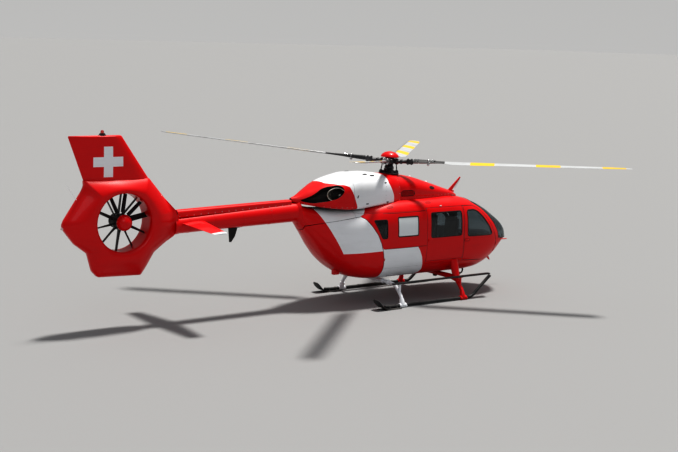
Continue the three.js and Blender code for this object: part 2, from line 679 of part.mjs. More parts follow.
const FIN = [
  // z, leading edge x, trailing edge x, half thickness
  [3071, -6272, -7700, 88],
  [3500, -6570, -7860, 74],
  [3950, -6880, -8030, 56],
];
const finOuter = loft(FIN.map(([z, lead, trail, thick]) => {
  const shares = [[0, 0], [0.03, 0.5], [0.12, 0.88], [0.32, 1], [0.7, 0.55], [1, 0.06]];
  const points = [...shares, ...shares.slice(1).reverse().map(([s, t]) => [s, -t])];
  return points.map(([s, t]) => new THREE.Vector3(lead + s * (trail - lead), t * thick, z));
}));
add("tail_fin", "red", finOuter);
// Fixed vanes and gearbox of the tail rotor, to port, and the rotor to starboard
const duct = (r) => new THREE.Vector3(FENESTRON.x + r[0], r[1], FENESTRON.z + r[2]).toArray();
const statorPieces = [
  rod(duct([0, 20, 0]), duct([0, 230, 0]), 150, 140, 24),
  rod(duct([0, 229, 0]), duct([0, 290, 0]), 140, 60, 24),
];
const VANE_COUNT = 10;
const vaneReach = FENESTRON.radius - STATIC_GAP;
for (let i = 0; i < VANE_COUNT; i++) {
  const angle = (2 * Math.PI * (i + 0.35)) / VANE_COUNT;
  const vane = new THREE.BoxGeometry(vaneReach - 110, 90, i === 0 ? 60 : 14);
  vane.translate((vaneReach + 110) / 2 - 8, 75, 0).rotateY(-angle);
  statorPieces.push(toSolid(vane.translate(FENESTRON.x, 0, FENESTRON.z)));
}
add("tail_rotor_stator", "black", cut(join(...statorPieces), shroudSkin(-STATIC_GAP)));

// Unevenly spaced blades, as on the real quiet fan
const FAN_ANGLES = [10, 42, 81, 115, 155, 190, 222, 261, 295, 335];
const FAN_CLEARANCE = 14;
const fanPieces = [
  rod(duct([0, -80, 0]), duct([0, 10, 0]), 170, 170, 28),
  rod(duct([0, -160, 0]), duct([0, -79, 0]), 165, 170, 28),
];
for (const degrees of FAN_ANGLES) {
  const angle = THREE.MathUtils.degToRad(degrees);
  const root = 140;
  const tip = FENESTRON.radius - FAN_CLEARANCE;
  const blade = new THREE.BoxGeometry(tip - root, 14, 88);
  blade.rotateX(THREE.MathUtils.degToRad(38));
  blade.translate((tip + root) / 2, -45, 0).rotateY(-angle);
  fanPieces.push(toSolid(blade.translate(FENESTRON.x, 0, FENESTRON.z)));
}
add("tail_rotor_fan", "black", join(...fanPieces));
const spinnerProfile = [
  [0, -0.6], [164, -0.6], [160, -50], [130, -105], [75, -148], [0, -165],
];
const spinner = new THREE.LatheGeometry(spinnerProfile.map(([r, z]) => new THREE.Vector2(r, z)), 24);
add("tail_rotor_spinner", "red", toSolid(spinner.translate(...duct([0, -160, 0]))));

// Horizontal stabiliser: one swept, cambered plane through the boom on each side
const STAB = { rootLead: -5000, rootTrail: -5540, tipLead: -5180, tipTrail: -5500, tipY: 1340, rootZ: 2100, tipZ: 2035 };
for (const [side, sign] of SIDES) {
  const rings = [
    [150, STAB.rootLead, STAB.rootTrail, STAB.rootZ, 34],
    [STAB.tipY, STAB.tipLead, STAB.tipTrail, STAB.tipZ, 22],
  ].map(
    ([y, lead, trail, z, thick]) => {
      const shares = [[0, 0], [0.06, 0.7], [0.3, 1], [1, 0.1]];
      const points = [...shares, ...shares.slice(1).reverse().map(([s, t]) => [s, -t])];
      return points.map(([s, t]) => new THREE.Vector3(lead + s * (trail - lead), y * sign, z + t * thick));
    },
  );
  add(`stabiliser_${side}`, "red", cut(loft(rings), boomSkin));
}

// Landing gear: two bowed cross tubes, two skids with turned-up toes, steps and snow pads
const CROSS = [["front", 1410, "red", 46], ["rear", -413, "white", 42]];
const SKID_Z = SKID_RADIUS + 7;
const STEP = { y: 1045, halfWidth: 55, bottom: 515, top: 545, rear: -630, front: 2330 };
const PAD = { halfWidth: 140, front: -515 };
function skidTube(sign, radius) {
  const y = sign * SKID_HALF_TRACK;
  const path = [
    [-900, y, SKID_Z + 12], [-700, y, SKID_Z], [200, y, SKID_Z], [1000, y, SKID_Z], [1480, y, SKID_Z],
    [1680, y, SKID_Z + 22], [1900, y, SKID_Z + 190], [2240, y, SKID_Z + 460],
  ];
  return tube(path, radius, 20, 10);
}
for (const [end, x, colour, radius] of CROSS) {
  const bow = [
    [x, -SKID_HALF_TRACK, SKID_Z + 45], [x, -1085, 260], [x, -900, 440], [x, -560, 505 - radius / 2],
    [x, 560, 505 - radius / 2], [x, 900, 440], [x, 1085, 260], [x, SKID_HALF_TRACK, SKID_Z + 45],
  ];
  const pieces = [tube(bow, radius, 22, 10)];
  const sockets = [];
  for (const [, sign] of SIDES) {
    const y = sign * SKID_HALF_TRACK;
    const clamp = SKID_RADIUS + 16;
    pieces.push(rod([x - 95, y, SKID_Z], [x + 95, y, SKID_Z], clamp, clamp, 16));
    const [y0, y1] = [sign * STEP.y - 14, sign * STEP.y + 14];
    pieces.push(box(x - 24, x + 24, y0, y1, 300, STEP.bottom - STATIC_GAP));
    sockets.push(skidTube(sign, SKID_RADIUS + 2));
    if (end === "front") {
      pieces.push(rod([x, sign * 800, 830], [x, sign * 935, 430], 88, 62, 12));
      pieces.push(rod([x, sign * 880, 470], [x, 0, 480], 78, 60, 12));
    }
  }
  const underside = box(x - 200, x + 200, -1400, 1400, -100, 31);
  add(`cross_tube_${end}`, colour, largestPiece(cut(join(...pieces), ...sockets, underside, roofSkin)));
}
for (const [side, sign] of SIDES) {
  const y = sign * SKID_HALF_TRACK;
  const shoe = box(PAD.front - 50, 1560, y - 20, y + 20, 0, 30);
  const pad = prism(
    [
      [-1190, 235], [-1110, 130], [-1000, 45], [-900, 12], [-820, 0], [PAD.front, 0], [PAD.front, 16], [-820, 16],
      [-890, 30], [-985, 62], [-1090, 145], [-1172, 247],
    ],
    y - PAD.halfWidth,
    y + PAD.halfWidth,
  );
  add(`skid_${side}`, "black", join(skidTube(sign, SKID_RADIUS), shoe, pad));
  const stepY = [sign * STEP.y - STEP.halfWidth, sign * STEP.y + STEP.halfWidth];
  add(`boarding_step_${side}`, "black", box(STEP.rear, STEP.front, ...stepY, STEP.bottom, STEP.top));
}

export default craft;
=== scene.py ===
import math

import bmesh
import bpy
import numpy as np
from mathutils import Matrix, Vector
from mathutils.geometry import delaunay_2d_cdt


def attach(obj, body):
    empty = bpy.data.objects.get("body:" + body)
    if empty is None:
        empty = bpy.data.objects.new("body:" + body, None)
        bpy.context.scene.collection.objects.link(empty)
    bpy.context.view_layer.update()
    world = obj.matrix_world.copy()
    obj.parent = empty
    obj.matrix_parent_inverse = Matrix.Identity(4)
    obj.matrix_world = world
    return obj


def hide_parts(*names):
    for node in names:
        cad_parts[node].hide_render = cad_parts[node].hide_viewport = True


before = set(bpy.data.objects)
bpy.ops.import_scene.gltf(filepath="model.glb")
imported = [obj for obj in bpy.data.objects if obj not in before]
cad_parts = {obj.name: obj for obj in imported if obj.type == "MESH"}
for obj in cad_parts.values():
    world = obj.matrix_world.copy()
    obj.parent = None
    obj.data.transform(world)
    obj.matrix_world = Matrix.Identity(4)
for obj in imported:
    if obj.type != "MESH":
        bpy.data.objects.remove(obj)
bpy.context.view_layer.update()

# Camera: above and behind the starboard side, nose to the right, at the photograph's angle.
# The place and the three turns come from fitting the helicopter's known sizes to the picture.
CAMERA_PLACE = Vector((-16.736, -23.437, 6.054))
CAMERA_YAW, CAMERA_PITCH, CAMERA_ROLL = 0.6390, -0.1459, 0.0295
CAMERA_LENS = 69.12
ahead = Vector((
    math.sin(CAMERA_YAW) * math.cos(CAMERA_PITCH),
    math.cos(CAMERA_YAW) * math.cos(CAMERA_PITCH),
    math.sin(CAMERA_PITCH),
))
level = Vector((math.cos(CAMERA_YAW), -math.sin(CAMERA_YAW), 0))
plumb = level.cross(ahead)
camera = bpy.data.objects.new("camera", bpy.data.cameras.new("camera"))
bpy.context.scene.collection.objects.link(camera)
camera.data.lens = CAMERA_LENS
camera.data.sensor_width = 36
camera.data.clip_end = 1500
rightwards = level * math.cos(CAMERA_ROLL) + plumb * math.sin(CAMERA_ROLL)
upwards = plumb * math.cos(CAMERA_ROLL) - level * math.sin(CAMERA_ROLL)
camera.matrix_world = Matrix.Translation(CAMERA_PLACE) @ Matrix((rightwards, upwards, -ahead)).transposed().to_4x4()
bpy.context.scene.camera = camera
bpy.context.scene.view_settings.view_transform = "Standard"  # keeps the reds as deep as the paint
bpy.context.scene.view_settings.look = "High Contrast"

# Studio: an endless pale floor under a soft pale sky, a broad warm key from high ahead, and a weaker
# cool light from the camera's side, so that the gloss paint shows its curves.
KEY_TOWARDS = Vector((-0.3, -0.06, -1.0))
FILL_TOWARDS = Vector((0.35, 0.75, -0.6))


def sun_lamp(name, towards, strength, width, colour):
    lamp = bpy.data.lights.new(name, "SUN")
    lamp.energy, lamp.angle, lamp.color = strength, math.radians(width), colour
    holder = bpy.data.objects.new(name, lamp)
    holder.rotation_mode = "QUATERNION"
    holder.rotation_quaternion = towards.to_track_quat("-Z", "Y")
    bpy.context.scene.collection.objects.link(holder)


sun_lamp("key_light", KEY_TOWARDS, 3.6, 7, (1.0, 0.965, 0.91))
sun_lamp("fill_light", FILL_TOWARDS, 0.2, 30, (0.86, 0.92, 1.0))


def connect(tree, *links):
    """Wires, each given as a node, its output, the next node and that one's input."""
    for source, given, target, taken in links:
        tree.links.new(source.outputs[given], target.inputs[taken])


def set_inputs(node, values):
    for label, value in values.items():
        node.inputs[label].default_value = value


def add_node(tree, kind, values={}, **fields):
    """A node of that kind, with its inputs' values and its own fields."""
    node = tree.nodes.new(kind)
    for field, value in fields.items():
        setattr(node, field, value)
    set_inputs(node, values)
    return node


studio = bpy.data.worlds.new("studio")
bpy.context.scene.world = studio
studio.use_nodes = True
sky = studio.node_tree
direction = add_node(sky, "ShaderNodeTexCoord")
height = add_node(sky, "ShaderNodeSeparateXYZ")
half_up = add_node(sky, "ShaderNodeMapRange", {"From Min": -1})
ramp = add_node(sky, "ShaderNodeValToRGB")
stops = ramp.color_ramp.elements
for place, shade in ((0.0, 0.15), (0.46, 0.2), (0.49, 0.82), (0.53, 0.8), (0.57, 0.4), (0.75, 0.5), (1.0, 0.75)):
    stop = stops[int(place)] if place in (0.0, 1.0) else stops.new(place)
    stop.color = (shade, shade * 0.995, shade * 0.985, 1)
connect(sky, (direction, "Generated", height, 0), (height, "Z", half_up, "Value"), (half_up, 0, ramp, 0),
        (ramp, 0, sky.nodes["Background"], "Color"))
set_inputs(sky.nodes["Background"], {"Strength": 0.49})

FLOOR_REACH = 600
floor_mesh = bpy.data.meshes.new("floor")
floor_mesh.from_pydata(
    [(x * FLOOR_REACH, y * FLOOR_REACH, 0) for x, y in ((-1, -1), (1, -1), (1, 1), (-1, 1))], [], [(0, 1, 2, 3)]
)
floor = bpy.data.objects.new("floor", floor_mesh)
bpy.context.scene.collection.objects.link(floor)
floor_paint = bpy.data.materials.new("studio_floor")
floor_paint.use_nodes = True
set_inputs(floor_paint.node_tree.nodes["Principled BSDF"], {"Base Color": (0.25, 0.254, 0.261, 1), "Roughness": 0.75})
floor.data.materials.append(floor_paint)

# Cabin shell: painted metal and composite panels on hidden frames, meeting at narrow seams.
# All follow one smooth body that swells from a beaked nose to a flat-sided cabin and closes in
# under the tail boom. Each panel is formed to that body, with a rolled edge and a trimmed back.
MAST_X = 2.077
BODY = [
    # x from the mast, bottom, waist, top, half width, squareness below and above the waist
    [3.508, 1.204, 1.205, 1.206, 0.001, 2.0, 2.0],
    [3.5, 1.155, 1.205, 1.27, 0.09, 2.0, 2.0],
    [3.455, 1.1, 1.25, 1.375, 0.23, 1.0, 2.1],
    [3.32, 1.0, 1.295, 1.54, 0.455, 0.85, 2.4],
    [3.13, 0.79, 1.3, 1.73, 0.65, 1.05, 2.6],
    [2.88, 0.67, 1.265, 1.915, 0.745, 1.55, 2.6],
    [2.56, 0.597, 1.255, 2.1, 0.815, 2.15, 2.8],
    [2.2, 0.555, 1.29, 2.24, 0.85, 2.8, 3.3],
    [1.8, 0.54, 1.32, 2.335, 0.868, 3.0, 3.7],
    [1.3, 0.54, 1.345, 2.378, 0.87, 3.0, 4.0],
    [0.4, 0.54, 1.35, 2.385, 0.87, 3.0, 4.0],
    [-0.3, 0.54, 1.35, 2.37, 0.86, 3.0, 4.0],
    [-0.8, 0.55, 1.37, 2.31, 0.838, 2.9, 3.8],
    [-1.2, 0.61, 1.42, 2.245, 0.79, 2.7, 3.4],
    [-1.55, 0.77, 1.5, 2.225, 0.705, 2.5, 3.0],
    [-1.85, 0.985, 1.59, 2.225, 0.59, 2.4, 2.7],
    [-2.1, 1.24, 1.7, 2.235, 0.46, 2.3, 2.5],
    [-2.35, 1.56, 1.88, 2.26, 0.33, 2.2, 2.3],
    [-2.6, 1.88, 2.12, 2.33, 0.225, 2.1, 2.1],
]
QUARTER, HALF_TURN = math.pi / 2, math.pi
GIRTH = 0.95  # metres round the body for one radian, near enough to measure seams with
EDGE_GRAIN = 0.02  # the longest stretch between two points of a panel's outline


def unit(ways):
    return ways / np.maximum(np.linalg.norm(ways, axis=-1, keepdims=True), 1e-9)


def all_round(count):
    """The angles of that many points round a circle."""
    return np.linspace(0, 2 * math.pi, count, endpoint=False)


class Skin:
    """A smooth body through a table of sections. A place on it is (u, angle): the way back from the
    tip, and the angle up from the starboard waist. A nose longer than zero rounds the tip."""

    def __init__(self, table, nose=0.0):
        rows = np.array(table, float)
        self.tip, self.nose = rows[0, 0], nose
        self.knots, self.rows = self.along(rows[:, 0]), rows[:, 1:]
        slope = np.diff(self.rows, axis=0) / np.diff(self.knots)[:, None]
        both = slope[:-1] * slope[1:]
        total = slope[:-1] + slope[1:]
        middle = np.where(both > 0, 2 * both / np.where(both > 0, total, 1), 0)
        self.slopes = np.vstack([slope[:1], middle, slope[-1:]])

    def along(self, x):
        gone = self.tip - np.asarray(x, float)
        rounded = np.sqrt(np.maximum(2 * self.nose * gone, 0))
        return np.where(gone < self.nose / 2, rounded, gone + self.nose / 2)

    def x_at(self, u):
        return self.tip - np.where(u < self.nose, u * u / (2 * self.nose or 1), u - self.nose / 2)

    def section(self, u):
        i = np.clip(np.searchsorted(self.knots, u) - 1, 0, len(self.knots) - 2)
        step = (self.knots[i + 1] - self.knots[i])[..., None]
        t = np.clip((u - self.knots[i])[..., None] / step, 0, 1)
        lift, drop = 3 * t ** 2 - 2 * t ** 3, t ** 3 - t ** 2
        value = self.rows[i] * (1 - lift) + self.rows[i + 1] * lift
        return value + step * (self.slopes[i] * (t - t ** 2 + drop) + self.slopes[i + 1] * drop)

    def surface(self, u, angle):
        u, angle = np.broadcast_arrays(np.asarray(u, float), np.asarray(angle, float))
        bottom, waist, top, half, low, high = np.moveaxis(self.section(u), -1, 0)
        c, s = np.cos(angle), np.sin(angle)
        power = np.where(s > 0, high, low)
        reach = np.maximum(np.where(s > 0, top - waist, waist - bottom), 1e-4)
        half = np.maximum(half, 1e-4)
        radius = ((np.abs(c) / half) ** power + (np.abs(s) / reach) ** power) ** (-1 / power)
        return np.stack([self.x_at(u) + MAST_X, -radius * c, waist + radius * s], -1)

    def facing(self, u, angle):
        step = 0.003
        u = np.maximum(u, 2 * step)
        back = self.surface(u + step, angle) - self.surface(u - step, angle)
        round_it = self.surface(u, angle + step) - self.surface(u, angle - step)
        return unit(np.cross(round_it, back))

    def point(self, u, angle, deep=0.0):
        return self.surface(u, angle) - np.asarray(deep)[..., None] * self.facing(u, angle)

    def angle_at(self, x, z):
        """The starboard angle of the skin's point at x and height z."""
        bottom, waist, top, half, low, high = np.moveaxis(self.section(self.along(x)), -1, 0)
        rise = np.asarray(z, float) - waist
        power = np.where(rise > 0, high, low)
        reach = np.where(rise > 0, top - waist, waist - bottom)
        share = np.clip(np.abs(rise) / reach, 0, 1)
        return np.arctan2(np.sign(rise) * share * reach, half * (1 - share ** power) ** (1 / power))

    def angle_beside(self, x, y):
        """The starboard angle of the skin's point above the waist at x, that far from the middle."""
        _, waist, top, half, _, high = np.moveaxis(self.section(self.along(x)), -1, 0)
        return np.arctan2((top - waist) * (1 - (y / half) ** high) ** (1 / high), y)


body = Skin(BODY, nose=0.35)


def rounded(outline, radius):
    """The outline with each corner turned into an arc of about that radius."""
    points = np.array(outline, float)
    result = []
    for i, corner in enumerate(points):
        before, after = points[i - 1] - corner, points[(i + 1) % len(points)] - corner
        reach = min(radius, 0.45 * np.linalg.norm(before), 0.45 * np.linalg.norm(after))
        start, end = corner + unit(before) * reach, corner + unit(after) * reach
        for t in np.linspace(0, 1, 6):
            result.append((1 - t) ** 2 * start + 2 * t * (1 - t) * corner + t * t * end)
    return np.array(result)


def divided(loop, grain, closed=True):
    """The same line with no stretch longer than the grain."""
    ends = np.roll(loop, -1, axis=0) if closed else loop[1:]
    result = []
    for a, b in zip(loop, ends):
        length = np.linalg.norm(b - a)
        parts = max(1, math.ceil(length / grain))
        result += [a + (b - a) * k / parts for k in range(parts)] if length > 1e-6 else []
    return np.array(result if closed else [*result, loop[-1]])


def signed_area(loop):
    x, y = loop.T
    return 0.5 * np.sum(x * np.roll(y, -1) - np.roll(x, -1) * y)


def drawn_in(loop, distance):
    """The closed line moved inwards by the distance, or outwards if it is negative."""
    turning = np.sign(signed_area(loop))
    ahead_way = unit(np.roll(loop, -1, axis=0) - loop)
    sides = np.stack([-ahead_way[:, 1], ahead_way[:, 0]], 1) * turning
    mitre = unit(sides + np.roll(sides, 1, axis=0))
    lean = np.maximum(np.sum(mitre * sides, axis=1, keepdims=True), 0.4)
    return loop + mitre * distance / lean


def untangled(moved, loop):
    """Both lines without the points where the moved one doubles back on itself."""
    for _ in range(30):
        ways = np.roll(moved, -1, axis=0) - moved, np.roll(loop, -1, axis=0) - loop
        backwards = np.nonzero(np.sum(ways[0] * ways[1], axis=1) <= 0)[0]
        if not len(backwards):
            break
        keep = np.ones(len(loop), bool)
        keep[(backwards + 1) % len(loop)] = False
        moved, loop = moved[keep], loop[keep]
    return moved, loop


def trimmed(loop, distance):
    """The closed line cut back by a gap all round."""
    return untangled(drawn_in(loop, distance), loop)[0]


def inside(points, loop):
    """Which of the points lie inside the closed line."""
    x, y = points[:, 0][:, None], points[:, 1][:, None]
    x0, y0 = loop.T
    x1, y1 = np.roll(loop, -1, axis=0).T
    spans = (y0 > y) != (y1 > y)
    with np.errstate(divide="ignore", invalid="ignore"):
        crossing = x < x0 + (y - y0) * (x1 - x0) / (y1 - y0)
    return np.sum(spans & crossing, axis=1) % 2 == 1


def on_skin(skin, outline, fillet=0.0, grain=EDGE_GRAIN, closed=True):
    """A side-view outline in x and z, as a line on the skin's starboard side."""
    line = rounded(outline, fillet) if fillet else np.array(outline, float)
    line = divided(line, grain, closed)
    return np.stack([skin.along(line[:, 0]), skin.angle_at(line[:, 0], line[:, 1]) * GIRTH], 1)


def over_to_port(line, crown):
    """The same line on the port side, round by way of the crown (1) or of the keel (-1)."""
    return np.stack([line[:, 0], crown * HALF_TURN * GIRTH - line[:, 1]], 1)


def both_sides(line, crown):
    return np.vstack([line, over_to_port(line, crown)[::-1]])


def split_where_crossed(loop, partner, cutter):
    """The loop and its partner, both with new points where the cutter crosses the loop."""
    new_loop, new_partner = [], []
    c0, c1 = cutter, np.roll(cutter, -1, axis=0)
    for k in range(len(loop)):
        m = (k + 1) % len(loop)
        new_loop.append(loop[k])
        new_partner.append(partner[k])
        way, cut_way = loop[m] - loop[k], c1 - c0
        gap = c0 - loop[k]
        turn = way[0] * cut_way[:, 1] - way[1] * cut_way[:, 0]
        turn = np.where(np.abs(turn) < 1e-12, 1e-12, turn)
        t = (gap[:, 0] * cut_way[:, 1] - gap[:, 1] * cut_way[:, 0]) / turn
        s = (gap[:, 0] * way[1] - gap[:, 1] * way[0]) / turn
        for hit in sorted(t[(t > 1e-4) & (t < 1 - 1e-4) & (s >= 0) & (s <= 1)]):
            new_loop.append(loop[k] + way * hit)
            new_partner.append(partner[k] + (partner[m] - partner[k]) * hit)
    return np.array(new_loop), np.array(new_partner)


def turned_areas(spots, triangles):
    """Twice each triangle's area, above zero for an anticlockwise one."""
    ab, ac = spots[triangles[:, 1]] - spots[triangles[:, 0]], spots[triangles[:, 2]] - spots[triangles[:, 0]]
    return ab[:, 0] * ac[:, 1] - ab[:, 1] * ac[:, 0]


def panel_side(spots, triangles, rails, on_panel):
    """Which triangles belong to the panel: those that its edge lines shut in, found region by region."""
    beside = {}
    for number, corners in enumerate(triangles):
        for k in range(3):
            beside.setdefault(frozenset((int(corners[k]), int(corners[(k + 1) % 3]))), []).append(number)
    areas = np.abs(turned_areas(spots, triangles))
    within = on_panel(spots[triangles].mean(axis=1))
    wanted, seen = np.zeros(len(triangles), bool), np.zeros(len(triangles), bool)
    for first in range(len(triangles)):
        if seen[first]:
            continue
        region, waiting, at_rim = [], [first], False
        seen[first] = True
        while waiting:
            number = waiting.pop()
            region.append(number)
            for k in range(3):
                bond = frozenset((int(triangles[number][k]), int(triangles[number][(k + 1) % 3])))
                if bond in rails:
                    continue
                at_rim |= len(beside[bond]) == 1
                for other in beside[bond]:
                    if not seen[other]:
                        seen[other] = True
                        waiting.append(other)
        wanted[region] = not at_rim and within[max(region, key=lambda number: areas[number])]
    return wanted


TRIM, SECOND = 1, 2  # kinds of face: 0 is the panel's main paint
RAIL_CLEARANCE = 0.62  # how near a panel's inner points come to its lines, in grains


def form_panel(skin, edge, holes=(), *, depth, sink=0.0, rim=0.004, grain=0.034, areas=(), crown=0):
    """A panel formed to the skin between closed lines in (u, girth), with rolled edges and a back.
    Areas are side-view outlines in the second paint. Returns points, faces, kinds and normals."""
    lines = [divided(loop, grain) for loop in [edge, *holes]]
    pairs = [untangled(drawn_in(line, rim if number == 0 else -rim), line) for number, line in enumerate(lines)]
    flats, lines = [pair[0] for pair in pairs], [pair[1] for pair in pairs]
    paint_lines = []
    for outline in areas:
        line = on_skin(skin, outline, grain=grain)
        paint_lines += [line, over_to_port(line, crown)] if crown else [line]
    paint_lines = [line for line in paint_lines if np.any(inside(line, flats[0]))]
    for number in range(len(lines)):
        for cutter in paint_lines:
            flats[number], lines[number] = split_where_crossed(flats[number], lines[number], cutter)
    low, high = flats[0].min(axis=0), flats[0].max(axis=0)
    u, w = np.meshgrid(np.arange(low[0], high[0], grain), np.arange(low[1], high[1], grain), indexing="ij")
    u[:, 1::2] += grain / 2
    field = np.stack([u.ravel(), w.ravel()], 1)

    def on_panel(spots):
        within = inside(spots, flats[0])
        for hole in flats[1:]:
            within &= ~inside(spots, hole)
        return within

    field = field[on_panel(field)]
    rails = np.vstack(flats + paint_lines)
    keep = [np.min(np.sum((spot - rails) ** 2, axis=1)) > (RAIL_CLEARANCE * grain) ** 2 for spot in field]
    seeds = np.vstack([rails, field[np.array(keep, bool)]])
    bonds, start = [], 0
    for line in flats + paint_lines:
        bonds += [(start + k, start + (k + 1) % len(line)) for k in range(len(line))]
        start += len(line)
    made = delaunay_2d_cdt([Vector(seed) for seed in seeds], bonds, [], 0, 1e-5)
    spots, triangles = np.array([tuple(spot) for spot in made[0]]), np.array(made[2])
    where = {given: number for number, sources in enumerate(made[3]) for given in sources}
    edge_bonds = sum(len(flat) for flat in flats)
    rails = {frozenset(bond) for bond, sources in zip(made[1], made[4]) if any(k < edge_bonds for k in sources)}
    wanted = panel_side(spots, triangles, rails, on_panel)
    triangles = triangles[wanted]
    middle = spots[triangles].mean(axis=1)
    wrong = turned_areas(spots, triangles) > 0
    triangles[wrong] = triangles[wrong][:, ::-1]

    def kinds_at(places):
        side_view = skin.surface(places[:, 0], places[:, 1] / GIRTH)[:, [0, 2]] - (MAST_X, 0)
        kinds = np.zeros(len(places), int)
        for outline in areas:
            kinds[inside(side_view, np.array(outline, float))] = SECOND
        return kinds

    angle, count = spots[:, 1] / GIRTH, len(spots)
    facing = skin.facing(spots[:, 0], angle)
    front = skin.point(spots[:, 0], angle, sink)
    points = [front, front - facing * depth]
    faces = [tuple(t) for t in triangles] + [tuple(t + count) for t in triangles[:, ::-1]]
    kinds = [*kinds_at(middle), *([TRIM] * len(triangles))]
    normals = [facing[v] for t in triangles for v in t] + [-facing[v] for t in triangles[:, ::-1] for v in t]
    total, start = 2 * count, 0
    for line, flat in zip(lines, flats):
        n = len(line)
        first = np.array([where[start + k] for k in range(n)])
        start += n
        rolled = flat + (line - flat) * 0.7
        points.append(skin.point(rolled[:, 0], rolled[:, 1] / GIRTH, sink + rim * 0.3))
        points.append(skin.point(line[:, 0], line[:, 1] / GIRTH, sink + rim))
        across, up = points[-1] - front[first], facing[first]
        across = unit(across - up * np.sum(across * up, axis=1, keepdims=True))
        ids = [first, total + np.arange(n), total + n + np.arange(n), first + count]
        shades = [up, unit(up + across), across, across]
        total += 2 * n
        backwards = (signed_area(flat) > 0) == (line is lines[0])
        edge_kinds = kinds_at((flat + np.roll(flat, -1, axis=0)) / 2)
        for level in range(3):
            for k in range(n):
                m = (k + 1) % n
                ring = [(level, k), (level + 1, k), (level + 1, m), (level, m)]
                if backwards:
                    ring.reverse()
                faces.append(tuple(int(ids[r][c]) for r, c in ring))
                normals += [shades[r][c] for r, c in ring]
                kinds.append(edge_kinds[k] if level < 2 else TRIM)
    return np.vstack(points), faces, kinds, normals


def joined(*parts):
    """Several formed parts as one."""
    points, faces, kinds, normals, start = [], [], [], [], 0
    for part in parts:
        points.append(part[0])
        faces += [tuple(v + start for v in face) for face in part[1]]
        kinds += part[2]
        normals += part[3]
        start += len(part[0])
    return np.vstack(points), faces, kinds, normals


def to_port(part):
    """The mirror image of a part, formed or plain, on the port side."""
    points, faces = np.asarray(part[0]) * (1, -1, 1), [tuple(face)[::-1] for face in part[1]]
    if len(part) == 2:
        return points, faces
    flipped, start = [], 0
    for face in faces:
        flipped += [n * (1, -1, 1) for n in part[3][start:start + len(face)][::-1]]
        start += len(face)
    return points, faces, part[2], flipped


SIDES = (("right", lambda part: part), ("left", to_port))


def mesh_of(name, part):
    mesh = bpy.data.meshes.new(name)
    mesh.from_pydata([tuple(p) for p in part[0]], [], [tuple(int(v) for v in face) for face in part[1]])
    return mesh


def add_object(name, mesh, stands_for, body_name):
    """A mesh as a piece that rides on a body, and stands for those CAD nodes."""
    piece = bpy.data.objects.new(name, mesh)
    bpy.context.scene.collection.objects.link(piece)
    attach(piece, body_name)
    if stands_for:
        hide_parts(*stands_for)


def paint(mesh, paints, kinds):
    """Smooth faces, each with the paint that its kind says."""
    for material in paints:
        mesh.materials.append(material)
    if kinds is not None:
        mesh.polygons.foreach_set("material_index", np.array(kinds, np.int32))
    mesh.polygons.foreach_set("use_smooth", [True] * len(mesh.polygons))


def add_formed(name, part, paints=None, body_name="airframe"):
    """A formed part as an object that stands for the CAD node of the same name."""
    mesh = mesh_of(name, part)
    paint(mesh, paints or shell_finishes, part[2])
    mesh.normals_split_custom_set([tuple(n) for n in part[3]])
    add_object(name + "_formed", mesh, [name], body_name)


def surface_group(name, inputs, outputs):
    """A shader node group with those named inputs and outputs, colours where the name says so."""
    group = bpy.data.node_groups.new(name, "ShaderNodeTree")
    for in_out, labels in (("INPUT", inputs), ("OUTPUT", outputs)):
        for label in labels:
            kind = "NodeSocketColor" if "Colour" in label else "NodeSocketFloat"
            group.interface.new_socket(label, in_out=in_out, socket_type=kind)
    return group, group.nodes.new("NodeGroupInput"), group.nodes.new("NodeGroupOutput")


def coated(name, effect, values, relief, shader_values):
    """A material whose colour, gloss and fine relief come from a shared effect with those values.
    The relief is its strength and its depth in metres."""
    material = bpy.data.materials.new(name)
    material.use_nodes = True
    tree = material.node_tree
    shader = tree.nodes["Principled BSDF"]
    film = add_node(tree, "ShaderNodeGroup", values, node_tree=effect)
    bump = add_node(tree, "ShaderNodeBump", {"Strength": relief[0], "Distance": relief[1]})
    set_inputs(shader, shader_values)
    for given, taken in (("Colour", "Base Color"), ("Roughness", "Roughness")):
        if given in film.outputs:
            connect(tree, (film, given, shader, taken))
    connect(tree, (film, "Height", bump, "Height"), (bump, "Normal", shader, "Normal"))
    return material


# Sprayed paint: a little uneven in gloss, with a fine rippled surface, and faint dust in patches
# and streaks that air and rain have drawn along the body.
weathering, given, result = surface_group("weathered_finish",
                                          ["Colour", "Dirt Colour", "Dirt", "Roughness", "Grain Size"],
                                          ["Colour", "Roughness", "Height"])
CLOUD_GLOSS, SPECK_GLOSS = 0.12, 0.05  # how much the clouds and the specks change the roughness
place = add_node(weathering, "ShaderNodeTexCoord")
along_body = add_node(weathering, "ShaderNodeMapping", {"Scale": (0.7, 5.0, 9.0)})
streaks = add_node(weathering, "ShaderNodeTexNoise", {"Scale": 1.1, "Detail": 7.0, "Roughness": 0.62})
clouds = add_node(weathering, "ShaderNodeTexNoise", {"Scale": 2.3, "Detail": 5.0, "Roughness": 0.55})
specks = add_node(weathering, "ShaderNodeTexNoise", {"Scale": 70.0, "Detail": 2.0})
ripple = add_node(weathering, "ShaderNodeTexNoise", {"Detail": 1.5})
streaked = add_node(weathering, "ShaderNodeMath", operation="MULTIPLY")
patches = add_node(weathering, "ShaderNodeMapRange", {"From Min": 0.2, "From Max": 0.42})
amount = add_node(weathering, "ShaderNodeMath", operation="MULTIPLY")
dirty = add_node(weathering, "ShaderNodeMix", data_type="RGBA")
shine = add_node(weathering, "ShaderNodeMath", {1: CLOUD_GLOSS}, operation="MULTIPLY_ADD")
speckled = add_node(weathering, "ShaderNodeMath", {1: SPECK_GLOSS}, operation="MULTIPLY_ADD")
